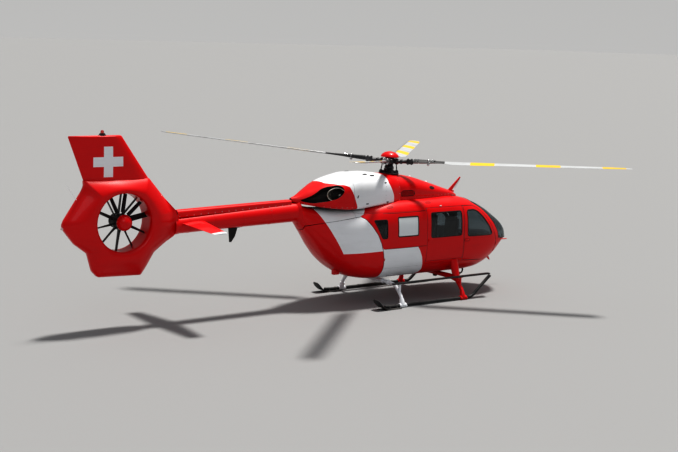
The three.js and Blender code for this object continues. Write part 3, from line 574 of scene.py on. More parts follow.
connect(weathering, (place, "Object", along_body, "Vector"), (along_body, 0, streaks, "Vector"),
        *[(place, "Object", noise, "Vector") for noise in (clouds, specks, ripple)],
        (given, "Grain Size", ripple, "Scale"), (streaks, "Fac", streaked, 0), (clouds, "Fac", streaked, 1),
        (streaked, 0, patches, "Value"), (patches, 0, amount, 0), (given, "Dirt", amount, 1),
        (amount, 0, dirty, "Factor"), (given, "Colour", dirty, "A"), (given, "Dirt Colour", dirty, "B"),
        (clouds, "Fac", shine, 0), (given, "Roughness", shine, 2), (specks, "Fac", speckled, 0),
        (shine, 0, speckled, 2), (dirty, "Result", result, "Colour"), (speckled, 0, result, "Roughness"),
        (ripple, "Fac", result, "Height"))


def finish(name, colour, roughness, dirt, dirt_colour=(0.12, 0.11, 0.1), grain=300.0, bump=0.0004, metallic=0.0,
           coat=0.0):
    """A weathered material of that mean roughness."""
    lift = (CLOUD_GLOSS + SPECK_GLOSS) / 2
    return coated(name, weathering,
                  {"Colour": (*colour, 1), "Dirt Colour": (*dirt_colour, 1), "Dirt": dirt,
                   "Roughness": roughness - lift, "Grain Size": grain}, (1.0, bump),
                  {"Metallic": metallic, "Coat Weight": coat, "Coat Roughness": 0.04,
                   "Specular IOR Level": 0.5 if metallic else 0.25})


red_paint = finish("red_paint", (0.66, 0.0, 0.003), 0.36, dirt=0.1, dirt_colour=(0.16, 0.004, 0.004), coat=0.3)
white_paint = finish("white_paint", (0.8, 0.82, 0.86), 0.34, dirt=0.16, dirt_colour=(0.48, 0.48, 0.49), coat=0.5)
lining = finish("cabin_lining", (0.23, 0.24, 0.26), 0.75, dirt=0.3, grain=420.0, bump=0.0015)
shell_finishes = [red_paint, lining, white_paint]

PILOT_DOOR = [
    (1.64, 0.86), (2.3, 0.82), (2.64, 0.86), (2.735, 0.96), (2.745, 1.25), (2.7, 1.44), (2.56, 1.7),
    (2.36, 1.93), (2.15, 2.085), (1.98, 2.15), (1.64, 2.165),
]
SLIDING_DOOR = [(0.5, 0.925), (1.62, 0.925), (1.62, 2.165), (0.5, 2.165)]
AFT_WINDOW = [(-0.345, 1.56), (0.235, 1.56), (0.235, 2.0), (-0.345, 2.0)]
CORNER_WINDOW = [(-0.65, 1.545), (-0.65, 1.96), (-0.99, 1.96), (-0.78, 1.545)]
CHIN_WINDOW = [(3.085, 0.875), (3.14, 0.892), (3.18, 0.942), (3.22, 0.997), (3.26, 1.055), (3.285, 1.085),
               (3.11, 1.058)]
SCREEN_EDGE = [(2.08, 2.2), (2.32, 2.06), (2.52, 1.9), (2.7, 1.69), (2.83, 1.46), (2.86, 1.32)]
REAR_DOOR_FRONT = [(-1.29, 2.06), (-1.18, 2.0), (-1.05, 1.85), (-0.9, 1.64), (-0.8, 1.43), (-0.735, 1.2),
                   (-0.69, 0.9), (-0.67, 0.64)]
UNDER = (-0.67, 0.3)  # any height below the body stands for its keel
# White areas: the flash over the rear doors and up to the engine cowling, and the lower panel
WHITE_FLASH = [
    (-1.702, 1.23), (-2.24, 2.2), (-2.24, 2.6), (-1.0, 2.6), (-1.043, 2.243), (-1.2, 2.1), *REAR_DOOR_FRONT[:5],
    (-0.745, 1.262),
]
WHITE_PANEL = [
    *REAR_DOOR_FRONT[5:], (-0.67, 0.565), (0.25, 0.565), (0.4, 0.6), (0.455, 0.66), (0.472, 0.734), (0.369, 1.058),
    (0.293, 1.216), (0.234, 1.3), (-0.76, 1.302),
]
SEAM = 0.0015
WALL_DEPTH = 0.04
KEEL, CROWN = -QUARTER * GIRTH + 0.0008, QUARTER * GIRTH - 0.0008
TIP_CAP = 0.048  # how far the nose shell closes over the very tip, behind the windshields

roof_edge = on_skin(body, [
    (-1.4 + SEAM, 2.1215), (0.5, 2.1215), (0.5, 2.165), (1.62, 2.165), (1.62, 2.1215), (1.64, 2.1215),
    (1.64, 2.165), (1.98, 2.15), (2.0785, 2.1127),
], closed=False)
roof = form_panel(body, both_sides(roof_edge, 1), depth=WALL_DEPTH, areas=[WHITE_FLASH], crown=1)
add_formed("roof_panel", roof)

belly_edge = on_skin(body, [
    UNDER, REAR_DOOR_FRONT[-1], (-0.685, 0.8385), (1.64, 0.8385), *PILOT_DOOR[:3], (2.64, 0.8385), (2.7585, 0.8385),
], closed=False)
belly = form_panel(body, both_sides(belly_edge, -1), depth=WALL_DEPTH, areas=[WHITE_PANEL], crown=-1)
add_formed("belly_shell", belly)

nose_edge = on_skin(body, [
    (2.7615, 0.3), (2.7615, 0.8415), (2.64, 0.8415), *PILOT_DOOR[2:5], (2.728, 1.3285), (2.86, 1.3285), (2.98, 1.302),
    (3.12, 1.3),
], closed=False)
beak = [(body.along(x), 0.0) for x in (3.13, 3.2, 3.3, 3.38, 3.44, 3.48, 3.5)]
nose_edge = np.vstack([nose_edge, beak, [(TIP_CAP + 0.008, 0.0), (TIP_CAP, CROWN), (0, CROWN)]])
chin_hole = on_skin(body, CHIN_WINDOW, 0.03)
chin_holes = [chin_hole, over_to_port(chin_hole, -1)[::-1]]
nose = form_panel(body, both_sides(nose_edge, -1), chin_holes, depth=WALL_DEPTH, grain=0.026, crown=-1)
add_formed("nose_shell", nose)

side_edge = on_skin(body, [
    (-1.3985, 2.1185), (0.5, 2.1185), (0.5, 0.925), (1.62, 0.925), (1.62, 2.1185), (1.64, 2.1185), (1.64, 0.8415),
    (-0.685, 0.8415), *REAR_DOOR_FRONT[-2::-1], (-1.3985, 2.0436),
])
window_fillets = ((AFT_WINDOW, 0.035), (CORNER_WINDOW, 0.035))
side = form_panel(
    body, side_edge, [on_skin(body, window, fillet) for window, fillet in window_fillets], depth=WALL_DEPTH,
    areas=[WHITE_FLASH, WHITE_PANEL],
)
add_formed("side_wall_right", side)
add_formed("side_wall_left", to_port(side))

root_edge = np.vstack([
    [(body.along(-2.6), KEEL), (body.along(-2.505), KEEL)],
    on_skin(body, [(-2.505, 1.869), (-2.35, 1.9), (-1.4015, 2.0432)], closed=False),
])
root = form_panel(body, both_sides(root_edge, 1), depth=0.025, areas=[WHITE_FLASH], crown=1)
add_formed("boom_root", root)

POST_HALF = 0.028
POST_SPREAD = 1.16  # how far down the skin, in girth, the centre post widens at the beak
strip_edge = on_skin(body, [
    (2.0815, 2.1115), *SCREEN_EDGE[:-1], (2.8585, 1.3315), (2.728, 1.3315), *PILOT_DOOR[5:9],
])
strip = form_panel(body, strip_edge, depth=WALL_DEPTH, rim=0.006)
post_line = np.array([
    (u, max(body.angle_beside(body.x_at(u), POST_HALF) * GIRTH, POST_SPREAD))
    for u in np.linspace(body.along(2.0815), TIP_CAP + 0.006, 60)
])
post = form_panel(body, both_sides(post_line, 1), depth=WALL_DEPTH, rim=0.004, grain=0.02)
add_formed("windshield_frame", joined(strip, to_port(strip), post))

# Rear clamshell doors: two curved composite leaves that close the back of the cabin and meet on its
# middle line. Each hangs on two hinges at its front edge and is sprayed red with a white flash.
HINGED_GAP = 0.012
rear_edge = np.vstack([
    on_skin(body, [*REAR_DOOR_FRONT, UNDER], closed=False),
    [(body.along(-0.67), KEEL - 0.006), (body.along(-2.51), KEEL - 0.006)],
    on_skin(body, [(-2.51, 1.868), (-2.35, 1.9), (-1.29, 2.06)], closed=False)[:-1],
])
rear_leaf = form_panel(body, trimmed(divided(rear_edge, EDGE_GRAIN), HINGED_GAP), depth=0.035, rim=0.006,
                       areas=[WHITE_FLASH])
add_formed("clamshell_door_right", rear_leaf, body_name="rear_door_right")
add_formed("clamshell_door_left", to_port(rear_leaf), body_name="rear_door_left")

# Crew doors and sliding cabin doors: pressed frames with bonded windows. The crew doors hang on their
# front edges; the cabin doors run on rails and stand a hair proud of the wall when shut.
CREW_WINDOW = [
    (1.76, 1.44), (2.52, 1.42), (2.59, 1.45), (2.5, 1.63), (2.31, 1.86), (2.13, 2.005), (2.0, 2.05), (1.79, 2.05),
    (1.75, 2.01),
]
CABIN_WINDOW = [(0.62, 1.475), (1.56, 1.475), (1.56, 2.05), (0.62, 2.05)]
crew_hole, cabin_hole = on_skin(body, CREW_WINDOW, 0.06), on_skin(body, CABIN_WINDOW, 0.06)
crew_leaf = form_panel(
    body, trimmed(on_skin(body, PILOT_DOOR, 0.03), HINGED_GAP), [crew_hole], depth=WALL_DEPTH, rim=0.006,
)
cabin_leaf = form_panel(
    body, trimmed(on_skin(body, SLIDING_DOOR, 0.04), 0.006), [cabin_hole], depth=WALL_DEPTH, sink=-0.003, rim=0.006,
)
for side_name, made in SIDES:
    add_formed(f"pilot_door_{side_name}", made(crew_leaf), body_name=f"crew_door_{side_name}")
    add_formed(f"sliding_door_{side_name}", made(cabin_leaf))

# Windows: blown acrylic panes, set just below the skin. The windshields run from the roof down to the
# beak and the chin windows sit in the nose; the aft pair is frosted white and the rest is grey.
clear_film, given, result = surface_group("window_film", ["Smudges", "Roughness"], ["Roughness", "Height"])
place = add_node(clear_film, "ShaderNodeTexCoord")
wipes = add_node(clear_film, "ShaderNodeTexNoise", {"Scale": 3.5, "Detail": 6.0, "Roughness": 0.7})
waves = add_node(clear_film, "ShaderNodeTexNoise", {"Scale": 1.6, "Detail": 1.0})
film_rough = add_node(clear_film, "ShaderNodeMath", operation="MULTIPLY_ADD")
connect(clear_film, (place, "Object", wipes, "Vector"), (place, "Object", waves, "Vector"),
        (wipes, "Fac", film_rough, 0), (given, "Smudges", film_rough, 1), (given, "Roughness", film_rough, 2),
        (film_rough, 0, result, "Roughness"), (waves, "Fac", result, "Height"))


def glazing(name, tint, smudges, roughness, see_through):
    return coated(name, clear_film, {"Smudges": smudges, "Roughness": roughness}, (0.5, 0.004),
                  {"Base Color": (*tint, 1), "Transmission Weight": see_through, "IOR": 1.49})


tinted_glass = glazing("tinted_glass", (0.3, 0.35, 0.37), 0.05, 0.0, 1.0)
frosted_glass = glazing("frosted_glass", (0.8, 0.84, 0.87), 0.3, 0.3, 0.12)
GLASS_DEPTH = 0.006
PANE_GAP = 0.0025
screen_edge = np.vstack([
    on_skin(body, [*SCREEN_EDGE, (2.98, 1.305), (3.12, 1.301)], closed=False),
    beak[1:],
    [(TIP_CAP + 0.008, 0.0)],
    post_line[::-1],
])
PANES = [
    # node, outline on the skin, body, glass, how deep the pane lies
    ("windshield", screen_edge, "airframe", tinted_glass, 0.003),
    ("pilot_door_window", crew_hole, "crew_door", tinted_glass, 0.004),
    ("sliding_door_window", cabin_hole, "airframe", tinted_glass, 0.004),
    ("aft_window", on_skin(body, AFT_WINDOW, 0.035), "airframe", frosted_glass, 0.003),
    ("chin_window", chin_hole, "airframe", tinted_glass, 0.003),
    ("corner_window", on_skin(body, CORNER_WINDOW, 0.035), "airframe", tinted_glass, 0.003),
]
for node, outline, carrier, glass, sunk in PANES:
    points, faces, kinds, normals = form_panel(
        body, trimmed(divided(outline, EDGE_GRAIN), PANE_GAP), depth=GLASS_DEPTH, sink=sunk, rim=0.0015, grain=0.05
    )
    for side_name, made in SIDES:
        rides_on = f"{carrier}_{side_name}" if carrier == "crew_door" else carrier
        add_formed(f"{node}_{side_name}", made((points, faces, [0] * len(faces), normals)), [glass], rides_on)

# Window and door seals: extruded black rubber, pressed over the edge of each opening, with a soft
# lip that stands a few millimetres out of the paint.


def ring_faces(rows, count, closed_rows):
    """The faces between rings of that many points, and from the last ring to the first if closed."""
    faces = []
    for i in range(rows if closed_rows else rows - 1):
        j = (i + 1) % rows
        faces += [(i * count + k, i * count + (k + 1) % count, j * count + (k + 1) % count, j * count + k)
                  for k in range(count)]
    return faces


def ribbon(skin, loop, profile):
    """A closed strip that follows a closed line; its profile is (outwards, depth) pairs."""
    rings = []
    for outwards, deep in profile:
        line = drawn_in(loop, -outwards)
        rings.append(skin.point(line[:, 0], line[:, 1] / GIRTH, deep))
    turning = 1 if signed_area(loop) > 0 else -1
    return np.vstack(rings), [(a, d, c, b)[::turning] for a, b, c, d in ring_faces(len(profile), len(loop), True)]


def add_piece(name, parts, paints, stands_for=(), body_name="airframe", crease=35, kinds=None):
    """Several (points, faces) parts as one object, with its place in its mesh."""
    points, faces, start = [], [], 0
    for part_points, part_faces in parts:
        points.append(np.asarray(part_points, float))
        faces += [[v + start for v in face] for face in part_faces]
        start += len(part_points)
    mesh = mesh_of(name, (np.vstack(points), faces))
    paint(mesh, paints if isinstance(paints, list) else [paints], kinds)
    mesh.set_sharp_from_angle(angle=math.radians(crease))
    add_object(name, mesh, stands_for, body_name)


def add_pair(name, parts, paints, node=None, carrier="airframe"):
    """The same piece on each side, which stands for that side's CAD node and rides on that side's door."""
    for side_name, made in SIDES:
        add_piece(f"{name}_{side_name}", [made(part) for part in parts], paints,
                  [f"{node}_{side_name}"] if node else (),
                  carrier if carrier == "airframe" else f"{carrier}_{side_name}")


def both(parts):
    """The parts and their mirror images."""
    return [*parts, *[to_port(part) for part in parts]]


rubber = finish("black_rubber", (0.018, 0.018, 0.019), 0.62, dirt=0.35, dirt_colour=(0.07, 0.065, 0.06), grain=500.0,
                bump=0.001)
SEAL = [(0.011, 0.004), (0.012, -0.0015), (0.006, -0.0045), (-0.006, -0.003), (-0.014, 0.003), (-0.01, 0.007)]
fixed_lines = [on_skin(body, window, fillet) for window, fillet in window_fillets]
fixed_lines += [cabin_hole, divided(screen_edge, EDGE_GRAIN)]
add_piece("window_seals", both([ribbon(body, line, SEAL) for line in fixed_lines]), rubber)
add_pair("crew_window_seal", [ribbon(body, crew_hole, SEAL)], rubber, carrier="crew_door")

# Engine cowlings: glass-fibre covers over the gearbox and the two engines, held down by latches. The
# front ones are red and the engines' white; the tail fairing closes round both exhausts.
ENGINE_COWL = [
    [-0.06, 2.3, 2.5, 2.905, 0.52, 9, 2.6],
    [-0.4, 2.28, 2.53, 2.945, 0.6, 9, 2.7],
    [-0.8, 2.245, 2.54, 2.985, 0.635, 9, 2.8],
    [-1.2, 2.205, 2.54, 2.985, 0.64, 9, 2.8],
    [-1.45, 2.195, 2.52, 2.95, 0.62, 9, 2.7],
    [-1.75, 2.215, 2.5, 2.885, 0.59, 8, 2.5],
    [-2.05, 2.245, 2.47, 2.79, 0.48, 6, 2.3],
    [-2.35, 2.29, 2.43, 2.66, 0.3, 4, 2.1],
    [-2.62, 2.345, 2.43, 2.52, 0.12, 3, 2.0],
    [-2.76, 2.4, 2.44, 2.475, 0.04, 2.5, 2.0],
]
GEARBOX_COWL = [
    [2.02, 2.29, 2.3, 2.312, 0.06, 2, 2.0],
    [1.93, 2.312, 2.33, 2.375, 0.19, 4, 2.0],
    [1.7, 2.355, 2.385, 2.475, 0.33, 6, 2.1],
    [1.35, 2.38, 2.43, 2.585, 0.43, 8, 2.2],
    [0.95, 2.39, 2.47, 2.71, 0.49, 9, 2.3],
    [0.5, 2.392, 2.5, 2.835, 0.52, 9, 2.4],
    [0.15, 2.393, 2.52, 2.89, 0.52, 9, 2.5],
    [-0.055, 2.393, 2.52, 2.905, 0.505, 9, 2.5],
]
COWL_DEPTH = 0.018
engine_skin, gearbox_skin = Skin(ENGINE_COWL), Skin(GEARBOX_COWL)


def lower_edge(skin, rear, front, count, tuck=0.02):
    """The starboard edge of a cowling, just round its lower corner."""
    u = skin.along(np.linspace(rear, front, count))
    bottom, waist, _, half, _, _ = np.moveaxis(skin.section(u), -1, 0)
    return np.stack([u, (np.arctan2(bottom - waist, half) - tuck) * GIRTH], 1)


RED_FRONT = [(-0.43, 3.1), (-0.43, 2.906), (-0.44, 2.764), (-0.3, 2.476), (-0.28, 2.2), (0.1, 2.2), (0.1, 3.1)]
RED_REAR = [(-1.6, 2.8), (-1.52, 2.68), (-1.456, 2.524), (-1.362, 2.261), (-1.34, 2.1), (-1.6, 2.1)]
WHITE_BACK = [(-1.4, 3.2), (-2.0, 3.2), (-2.0, 2.79), (-1.86, 2.783), (-1.674, 2.766), (-1.553, 2.722),
              (-1.456, 2.524), (-1.4, 2.39)]
EXHAUST_HOLE = [
    (-1.8, 2.765), (-1.716, 2.728), (-1.697, 2.631), (-1.776, 2.535), (-1.885, 2.461), (-2.11, 2.404), (-2.35, 2.362),
    (-2.53, 2.395), (-2.59, 2.425), (-2.516, 2.462), (-2.36, 2.535), (-2.25, 2.61), (-2.16, 2.675), (-2.041, 2.721),
]
engine_part = form_panel(
    engine_skin, both_sides(lower_edge(engine_skin, -1.4485, -0.0615, 50), 1), depth=COWL_DEPTH, rim=0.003,
    areas=[RED_FRONT, RED_REAR], crown=1,
)
add_formed("engine_cowling", engine_part, paints=[white_paint, lining, red_paint])
exhaust_hole = on_skin(engine_skin, EXHAUST_HOLE, 0.05)
fairing_part = form_panel(
    engine_skin, both_sides(lower_edge(engine_skin, -2.755, -1.4515, 50, 0.05), 1),
    [exhaust_hole, over_to_port(exhaust_hole, 1)[::-1]], depth=COWL_DEPTH, rim=0.005, areas=[WHITE_BACK], crown=1,
)
add_formed("exhaust_fairing", fairing_part)
gearbox_part = form_panel(
    gearbox_skin, both_sides(lower_edge(gearbox_skin, -0.0535, 2.0, 70), 1), depth=COWL_DEPTH, rim=0.003,
)
add_formed("gearbox_cowling", gearbox_part)

# Exhausts: a heat-resistant steel pipe for each engine, cut off in line with the fairing, with a
# rolled lip and a tail cone, in a well that carries the gas clear of the boom. The well's near-black
# is partly soot and partly painted shade.
exhaust_metal = finish("exhaust_metal", (0.5, 0.46, 0.42), 0.33, dirt=0.6, dirt_colour=(0.03, 0.028, 0.03),
                       grain=160.0, bump=0.001, metallic=0.9)
# Near-black: soot and painted shade in the exhaust wells, and painted shade behind the intake's slats.
soot_and_shade = finish("soot_and_painted_shade", (0.016, 0.015, 0.015), 0.7, dirt=0.5, dirt_colour=(0.05, 0.045, 0.04), grain=90.0,
              bump=0.002)
PIPE_START, PIPE_END = np.array([-1.48, -0.33, 2.48]), np.array([-2.12, -0.64, 2.6])
PIPE_RADIUS, PIPE_WALL, PIPE_SIDES = 0.158, 0.006, 56
WELL_DEPTH = 0.13
pipe_way = unit(PIPE_END - PIPE_START)
pipe_up = unit(np.cross(np.cross(pipe_way, (0, 0, 1)), pipe_way))
pipe_side = np.cross(pipe_way, pipe_up)


def within_skin(skin, place, margin):
    bottom, waist, top, half, low, high = skin.section(skin.along(place[0]))
    rise = place[2] - waist
    reach, power = (top - waist, high) if rise > 0 else (waist - bottom, low)
    return (abs(place[1]) / (half + margin)) ** power + (abs(rise) / (reach + margin)) ** power < 1


def round_pipe(turn):
    return math.cos(turn) * pipe_side + math.sin(turn) * pipe_up


def pipe_length(turn, margin):
    """How far the pipe reaches on that side before it comes out of the fairing."""
    offset = PIPE_RADIUS * round_pipe(turn)
    near, far = 0.15, 0.9
    for _ in range(24):
        middle = (near + far) / 2
        if within_skin(engine_skin, PIPE_START + offset + pipe_way * middle, margin):
            near = middle
        else:
            far = middle
    return near


def turned_out(part):
    """The closed part with all its faces pointing outwards."""
    points, faces = np.asarray(part[0], float), part[1]
    volume = sum(np.dot(points[face[0]], np.cross(points[face[k]], points[face[k + 1]]))
                 for face in faces for k in range(1, len(face) - 1))
    return points, faces if volume > 0 else [tuple(face)[::-1] for face in faces]


def lofted(rings, closed=False):
    """A closed part through rings of equal count; an open row of rings gets flat ends."""
    rings = np.array(rings, float)
    rows, count = rings.shape[:2]
    faces = ring_faces(rows, count, closed)
    if not closed:
        faces += [tuple(range(count))[::-1], tuple(range((rows - 1) * count, rows * count))]
    return turned_out((rings.reshape(-1, 3), faces))


pipe_foot = PIPE_START + (MAST_X, 0, 0)
PIPE_PROFILE = [
    # radius, reach past the fairing's surface, share of the way out to it
    (PIPE_RADIUS, 0.0, 0.2), (PIPE_RADIUS, 0.0, 1.0), (PIPE_RADIUS + 0.007, 0.006, 1.0),
    (PIPE_RADIUS + 0.006, 0.016, 1.0), (PIPE_RADIUS - 0.004, 0.018, 1.0), (PIPE_RADIUS - PIPE_WALL - 0.006, 0.006, 1.0),
    (PIPE_RADIUS - PIPE_WALL - 0.004, -0.01, 1.0), (PIPE_RADIUS - PIPE_WALL, 0.0, 0.2),
]
TAIL_CONE = [(0.085, 0.05), (0.082, 0.16), (0.07, 0.24), (0.048, 0.3), (0.022, 0.335), (0.001, 0.345)]
PIPE_INSET = 0.02  # the pipe's start past its foot, and how deep inside the fairing's surface it ends
pipe_turns = all_round(PIPE_SIDES)
lengths = np.array([pipe_length(turn, -PIPE_INSET) for turn in pipe_turns])


def pipe_ring(radius, reaches):
    """A ring of points round the pipe's axis, each at its own reach along it."""
    return [pipe_foot + round_pipe(turn) * radius + pipe_way * reach
            for turn, reach in zip(pipe_turns, np.broadcast_to(reaches, PIPE_SIDES))]


pipe_rings = [pipe_ring(radius, PIPE_INSET + (lengths - PIPE_INSET) * share + past)
              for radius, past, share in PIPE_PROFILE]
cone_rings = [pipe_ring(radius, reach) for radius, reach in TAIL_CONE]
exhaust = lofted(pipe_rings, True), lofted(cone_rings)
add_pair("exhaust_pipe", exhaust, exhaust_metal, "exhaust_nozzle")
# The well's walls and floor are near-black: partly soot, partly painted shade.
well_wall = ribbon(engine_skin, exhaust_hole, [(0.004, 0.01), (0.0, 0.01), (0.0, WELL_DEPTH), (0.004, WELL_DEPTH)])
well_floor = form_panel(engine_skin, drawn_in(exhaust_hole, -0.002), sink=WELL_DEPTH - 0.002, depth=0.004,
                        rim=0.001)[:2]
add_piece("exhaust_wells", both([well_wall, well_floor]), soot_and_shade)

# Main rotor mast: a short dark cone on the gearbox, with the swashplate round its foot. The scissor
# link and four pitch links join the plate to the hub. Steel and dull aluminium, oiled and dusty.
HUB_HEIGHT, MAST_TILT, BLADE_CONE = 3.19, math.radians(3), math.radians(2.8)
ROTOR_TURN = Matrix.Translation((MAST_X, 0, HUB_HEIGHT)) @ Matrix.Rotation(MAST_TILT, 4, "Y")
BLADE_AZIMUTHS = (45, 135, 225, 315)
rotor_metal = finish("rotor_metal", (0.075, 0.075, 0.08), 0.42, dirt=0.5, dirt_colour=(0.03, 0.028, 0.026),
                     grain=240.0, bump=0.0012, metallic=0.75)
bright_metal = finish("bright_metal", (0.5, 0.51, 0.52), 0.3, dirt=0.45, dirt_colour=(0.1, 0.09, 0.08),
                      bump=0.0008, metallic=0.95)


def lathe(profile, sides=40, centre=(0, 0, 0), axis="Z"):
    """A turned part: (radius, height) pairs along the axis, closed at both ends."""
    rings = np.array([[(radius * math.cos(turn), radius * math.sin(turn), height) for turn in all_round(sides)]
                      for radius, height in profile])
    if axis == "Y":
        rings = rings[..., [0, 2, 1]] * (1, 1, -1)
    elif axis == "X":
        rings = rings[..., [2, 0, 1]]
    return lofted(rings + centre)


def bar(line, radii, sides=12, aspect=1.0, up=(0, 0, 1)):
    """A closed tube through the points, round or flattened, with a radius at each point."""
    line = np.array(line, float)
    rings, upright = [], np.array(up, float)
    for spot, way, radius in zip(line, unit(np.gradient(line, axis=0)), np.broadcast_to(radii, len(line))):
        if abs(np.dot(upright, way)) > 0.97:
            upright = np.array((1.0, 0, 0)) if abs(way[0]) < 0.9 else np.array((0, 1.0, 0))
        across = unit(np.cross(way, upright))
        upright = np.cross(across, way)
        rings.append([spot + radius * (across * math.cos(turn) * aspect + upright * math.sin(turn))
                      for turn in all_round(sides) + math.pi / sides])
    return lofted(rings)


def block(low, high, bevel=0.004):
    """A block with bevelled edges."""
    form = bmesh.new()
    bmesh.ops.create_cube(form, size=1)
    low, high = Vector(low), Vector(high)
    for vertex in form.verts:
        vertex.co = Vector([low[i] + (vertex.co[i] + 0.5) * (high[i] - low[i]) for i in range(3)])
    bmesh.ops.bevel(form, geom=form.edges, offset=bevel, segments=2, affect="EDGES", profile=0.7)
    form.verts.index_update()
    part = np.array([tuple(v.co) for v in form.verts]), [tuple(v.index for v in f.verts) for f in form.faces]
    form.free()
    return part


def placed(part, matrix):
    return np.asarray(part[0]) @ np.array(matrix.to_3x3()).T + np.array(matrix.translation), part[1]


def all_placed(parts, matrix):
    return [placed(part, matrix) for part in parts]


def at_mast(parts):
    """The parts, given from the mast, in the frame that everything shares."""
    return all_placed(parts, Matrix.Translation((MAST_X, 0, 0)))


def round_mast(part, degrees):
    return placed(part, Matrix.Rotation(math.radians(degrees), 4, "Z"))


mast_parts = [lathe([(0.14, -0.38), (0.14, -0.3), (0.075, -0.27), (0.068, -0.15), (0.062, -0.05), (0.062, -0.041)]),
              lathe([(0.15, -0.300), (0.215, -0.296), (0.232, -0.282), (0.234, -0.262), (0.222, -0.25),
                     (0.15, -0.246)], 56),
              lathe([(0.12, -0.245), (0.172, -0.241), (0.18, -0.226), (0.172, -0.212), (0.12, -0.206), (0.1, -0.185),
                     (0.09, -0.17)], 48),
              lathe([(0.095, -0.16), (0.11, -0.15), (0.105, -0.12), (0.084, -0.085), (0.075, -0.06)])]
for quarter in range(4):
    yoke = [
        block((0.15, -0.03, -0.25), (0.232, 0.03, -0.212), 0.008),
        lathe([(0.02, -0.032), (0.026, -0.026), (0.026, 0.026), (0.02, 0.032)], 16, (0.196, 0, -0.216), "Y"),
        bar([(0.196, 0, -0.216), (0.19, 0.004, -0.15), (0.176, 0.01, -0.045)], [0.011, 0.0125, 0.011]),
        lathe([(0.012, -0.02), (0.019, -0.014), (0.019, 0.014), (0.012, 0.02)], 16, (0.176, 0.01, -0.045), "Y"),
        lathe([(0.013, -0.012), (0.0155, -0.008), (0.0155, 0.008), (0.013, 0.012)], 6, (0.19, 0.004, -0.15)),
    ]
    mast_parts += [round_mast(part, 90 * quarter - 17) for part in yoke]
for half_turn in (0, 180):
    mast_parts += [round_mast(part, half_turn + 30) for part in (
        bar([(0.17, -0.02, -0.225), (0.225, -0.01, -0.165)], [0.013, 0.011], 10, 1.8),
        bar([(0.225, 0.01, -0.165), (0.13, 0.012, -0.09)], [0.011, 0.012], 10, 1.8),
        lathe([(0.01, -0.035), (0.015, -0.03), (0.015, 0.03), (0.01, 0.035)], 14, (0.225, 0, -0.165), "Y"),
    )]
for k in range(24):
    mast_parts.append(round_mast(lathe([(0.009, -0.006), (0.009, 0.001), (0.007, 0.005)], 6, (0.218, 0, -0.252)),
                                 15 * k))
for k in range(3):
    mast_parts.append(round_mast(bar([(0.205, 0, -0.3), (0.2, 0, -0.36), (0.19, 0, -0.42)], 0.017), 120 * k + 40))
add_piece("mast_and_swashplate", all_placed(mast_parts, ROTOR_TURN), rotor_metal,
          ["rotor_mast"], body_name="main_rotor")

# Rotor hub: a titanium star under the cap, hingeless and bearingless, whose four arms are bolted to
# the flexible blade roots; each has a pair of clamp plates and rubber lead-lag dampers.
hub_parts = [
    lathe([(0.1, -0.039), (0.15, -0.036), (0.16, -0.024), (0.15, -0.008), (0.12, 0.0), (0.12, 0.02), (0.152, 0.03),
           (0.158, 0.045), (0.14, 0.06), (0.108, 0.066), (0.104, 0.09), (0.095, 0.0955)], 56),
]
for azimuth in BLADE_AZIMUTHS:
    rise = math.tan(BLADE_CONE)
    arm = [bar([(0.1, 0, 0.006), (0.2, 0, 0.2 * rise), (0.3, 0, 0.3 * rise), (0.42, 0, 0.42 * rise),
                (0.5, 0, 0.5 * rise), (0.556, 0, 0.556 * rise)], [0.052, 0.05, 0.04, 0.044, 0.056, 0.052], 24, 1.35),
           bar([(0.135, 0, 0.012), (0.15, 0, 0.15 * rise), (0.19, 0, 0.19 * rise), (0.205, 0, 0.2 * rise)],
               [0.058, 0.07, 0.07, 0.058], 24, 1.3),
           block((0.4, -0.066, 0.4 * rise + 0.026), (0.545, 0.066, 0.545 * rise + 0.05), 0.009),
           block((0.4, -0.066, 0.4 * rise - 0.05), (0.545, 0.066, 0.545 * rise - 0.022), 0.009)]
    for x, y in ((0.43, -0.042), (0.43, 0.042), (0.515, -0.042), (0.515, 0.042)):
        arm.append(lathe([(0.013, -0.066), (0.016, -0.06), (0.016, 0.06), (0.013, 0.068), (0.009, 0.072)], 12,
                         (x, y, x * rise)))
    for y in (-0.075, 0.075):
        arm.append(lathe([(0.02, -0.05), (0.029, -0.042), (0.024, -0.02), (0.03, 0.0), (0.024, 0.02), (0.029, 0.042),
                          (0.02, 0.05)], 18, (0.28, y, 0.28 * rise)))
    hub_parts += [round_mast(part, -azimuth) for part in arm]
add_piece("hub_star", all_placed(hub_parts, ROTOR_TURN), rotor_metal, ["rotor_hub"],
          body_name="main_rotor")
cap_parts = [
    lathe([(0.19, 0.0966), (0.206, 0.1), (0.211, 0.112), (0.205, 0.13), (0.19, 0.155), (0.163, 0.181), (0.125, 0.205),
           (0.08, 0.221), (0.04, 0.229), (0.02, 0.2315)], 72),
]
for k in range(8):
    cap_parts.append(round_mast(lathe([(0.008, 0.0), (0.008, 0.004), (0.005, 0.006)], 8, (0.128, 0, 0.2035)),
                                45 * k + 20))
add_piece("rotor_cap", all_placed(cap_parts, ROTOR_TURN), red_paint, ["hub_cap"],
          body_name="main_rotor")

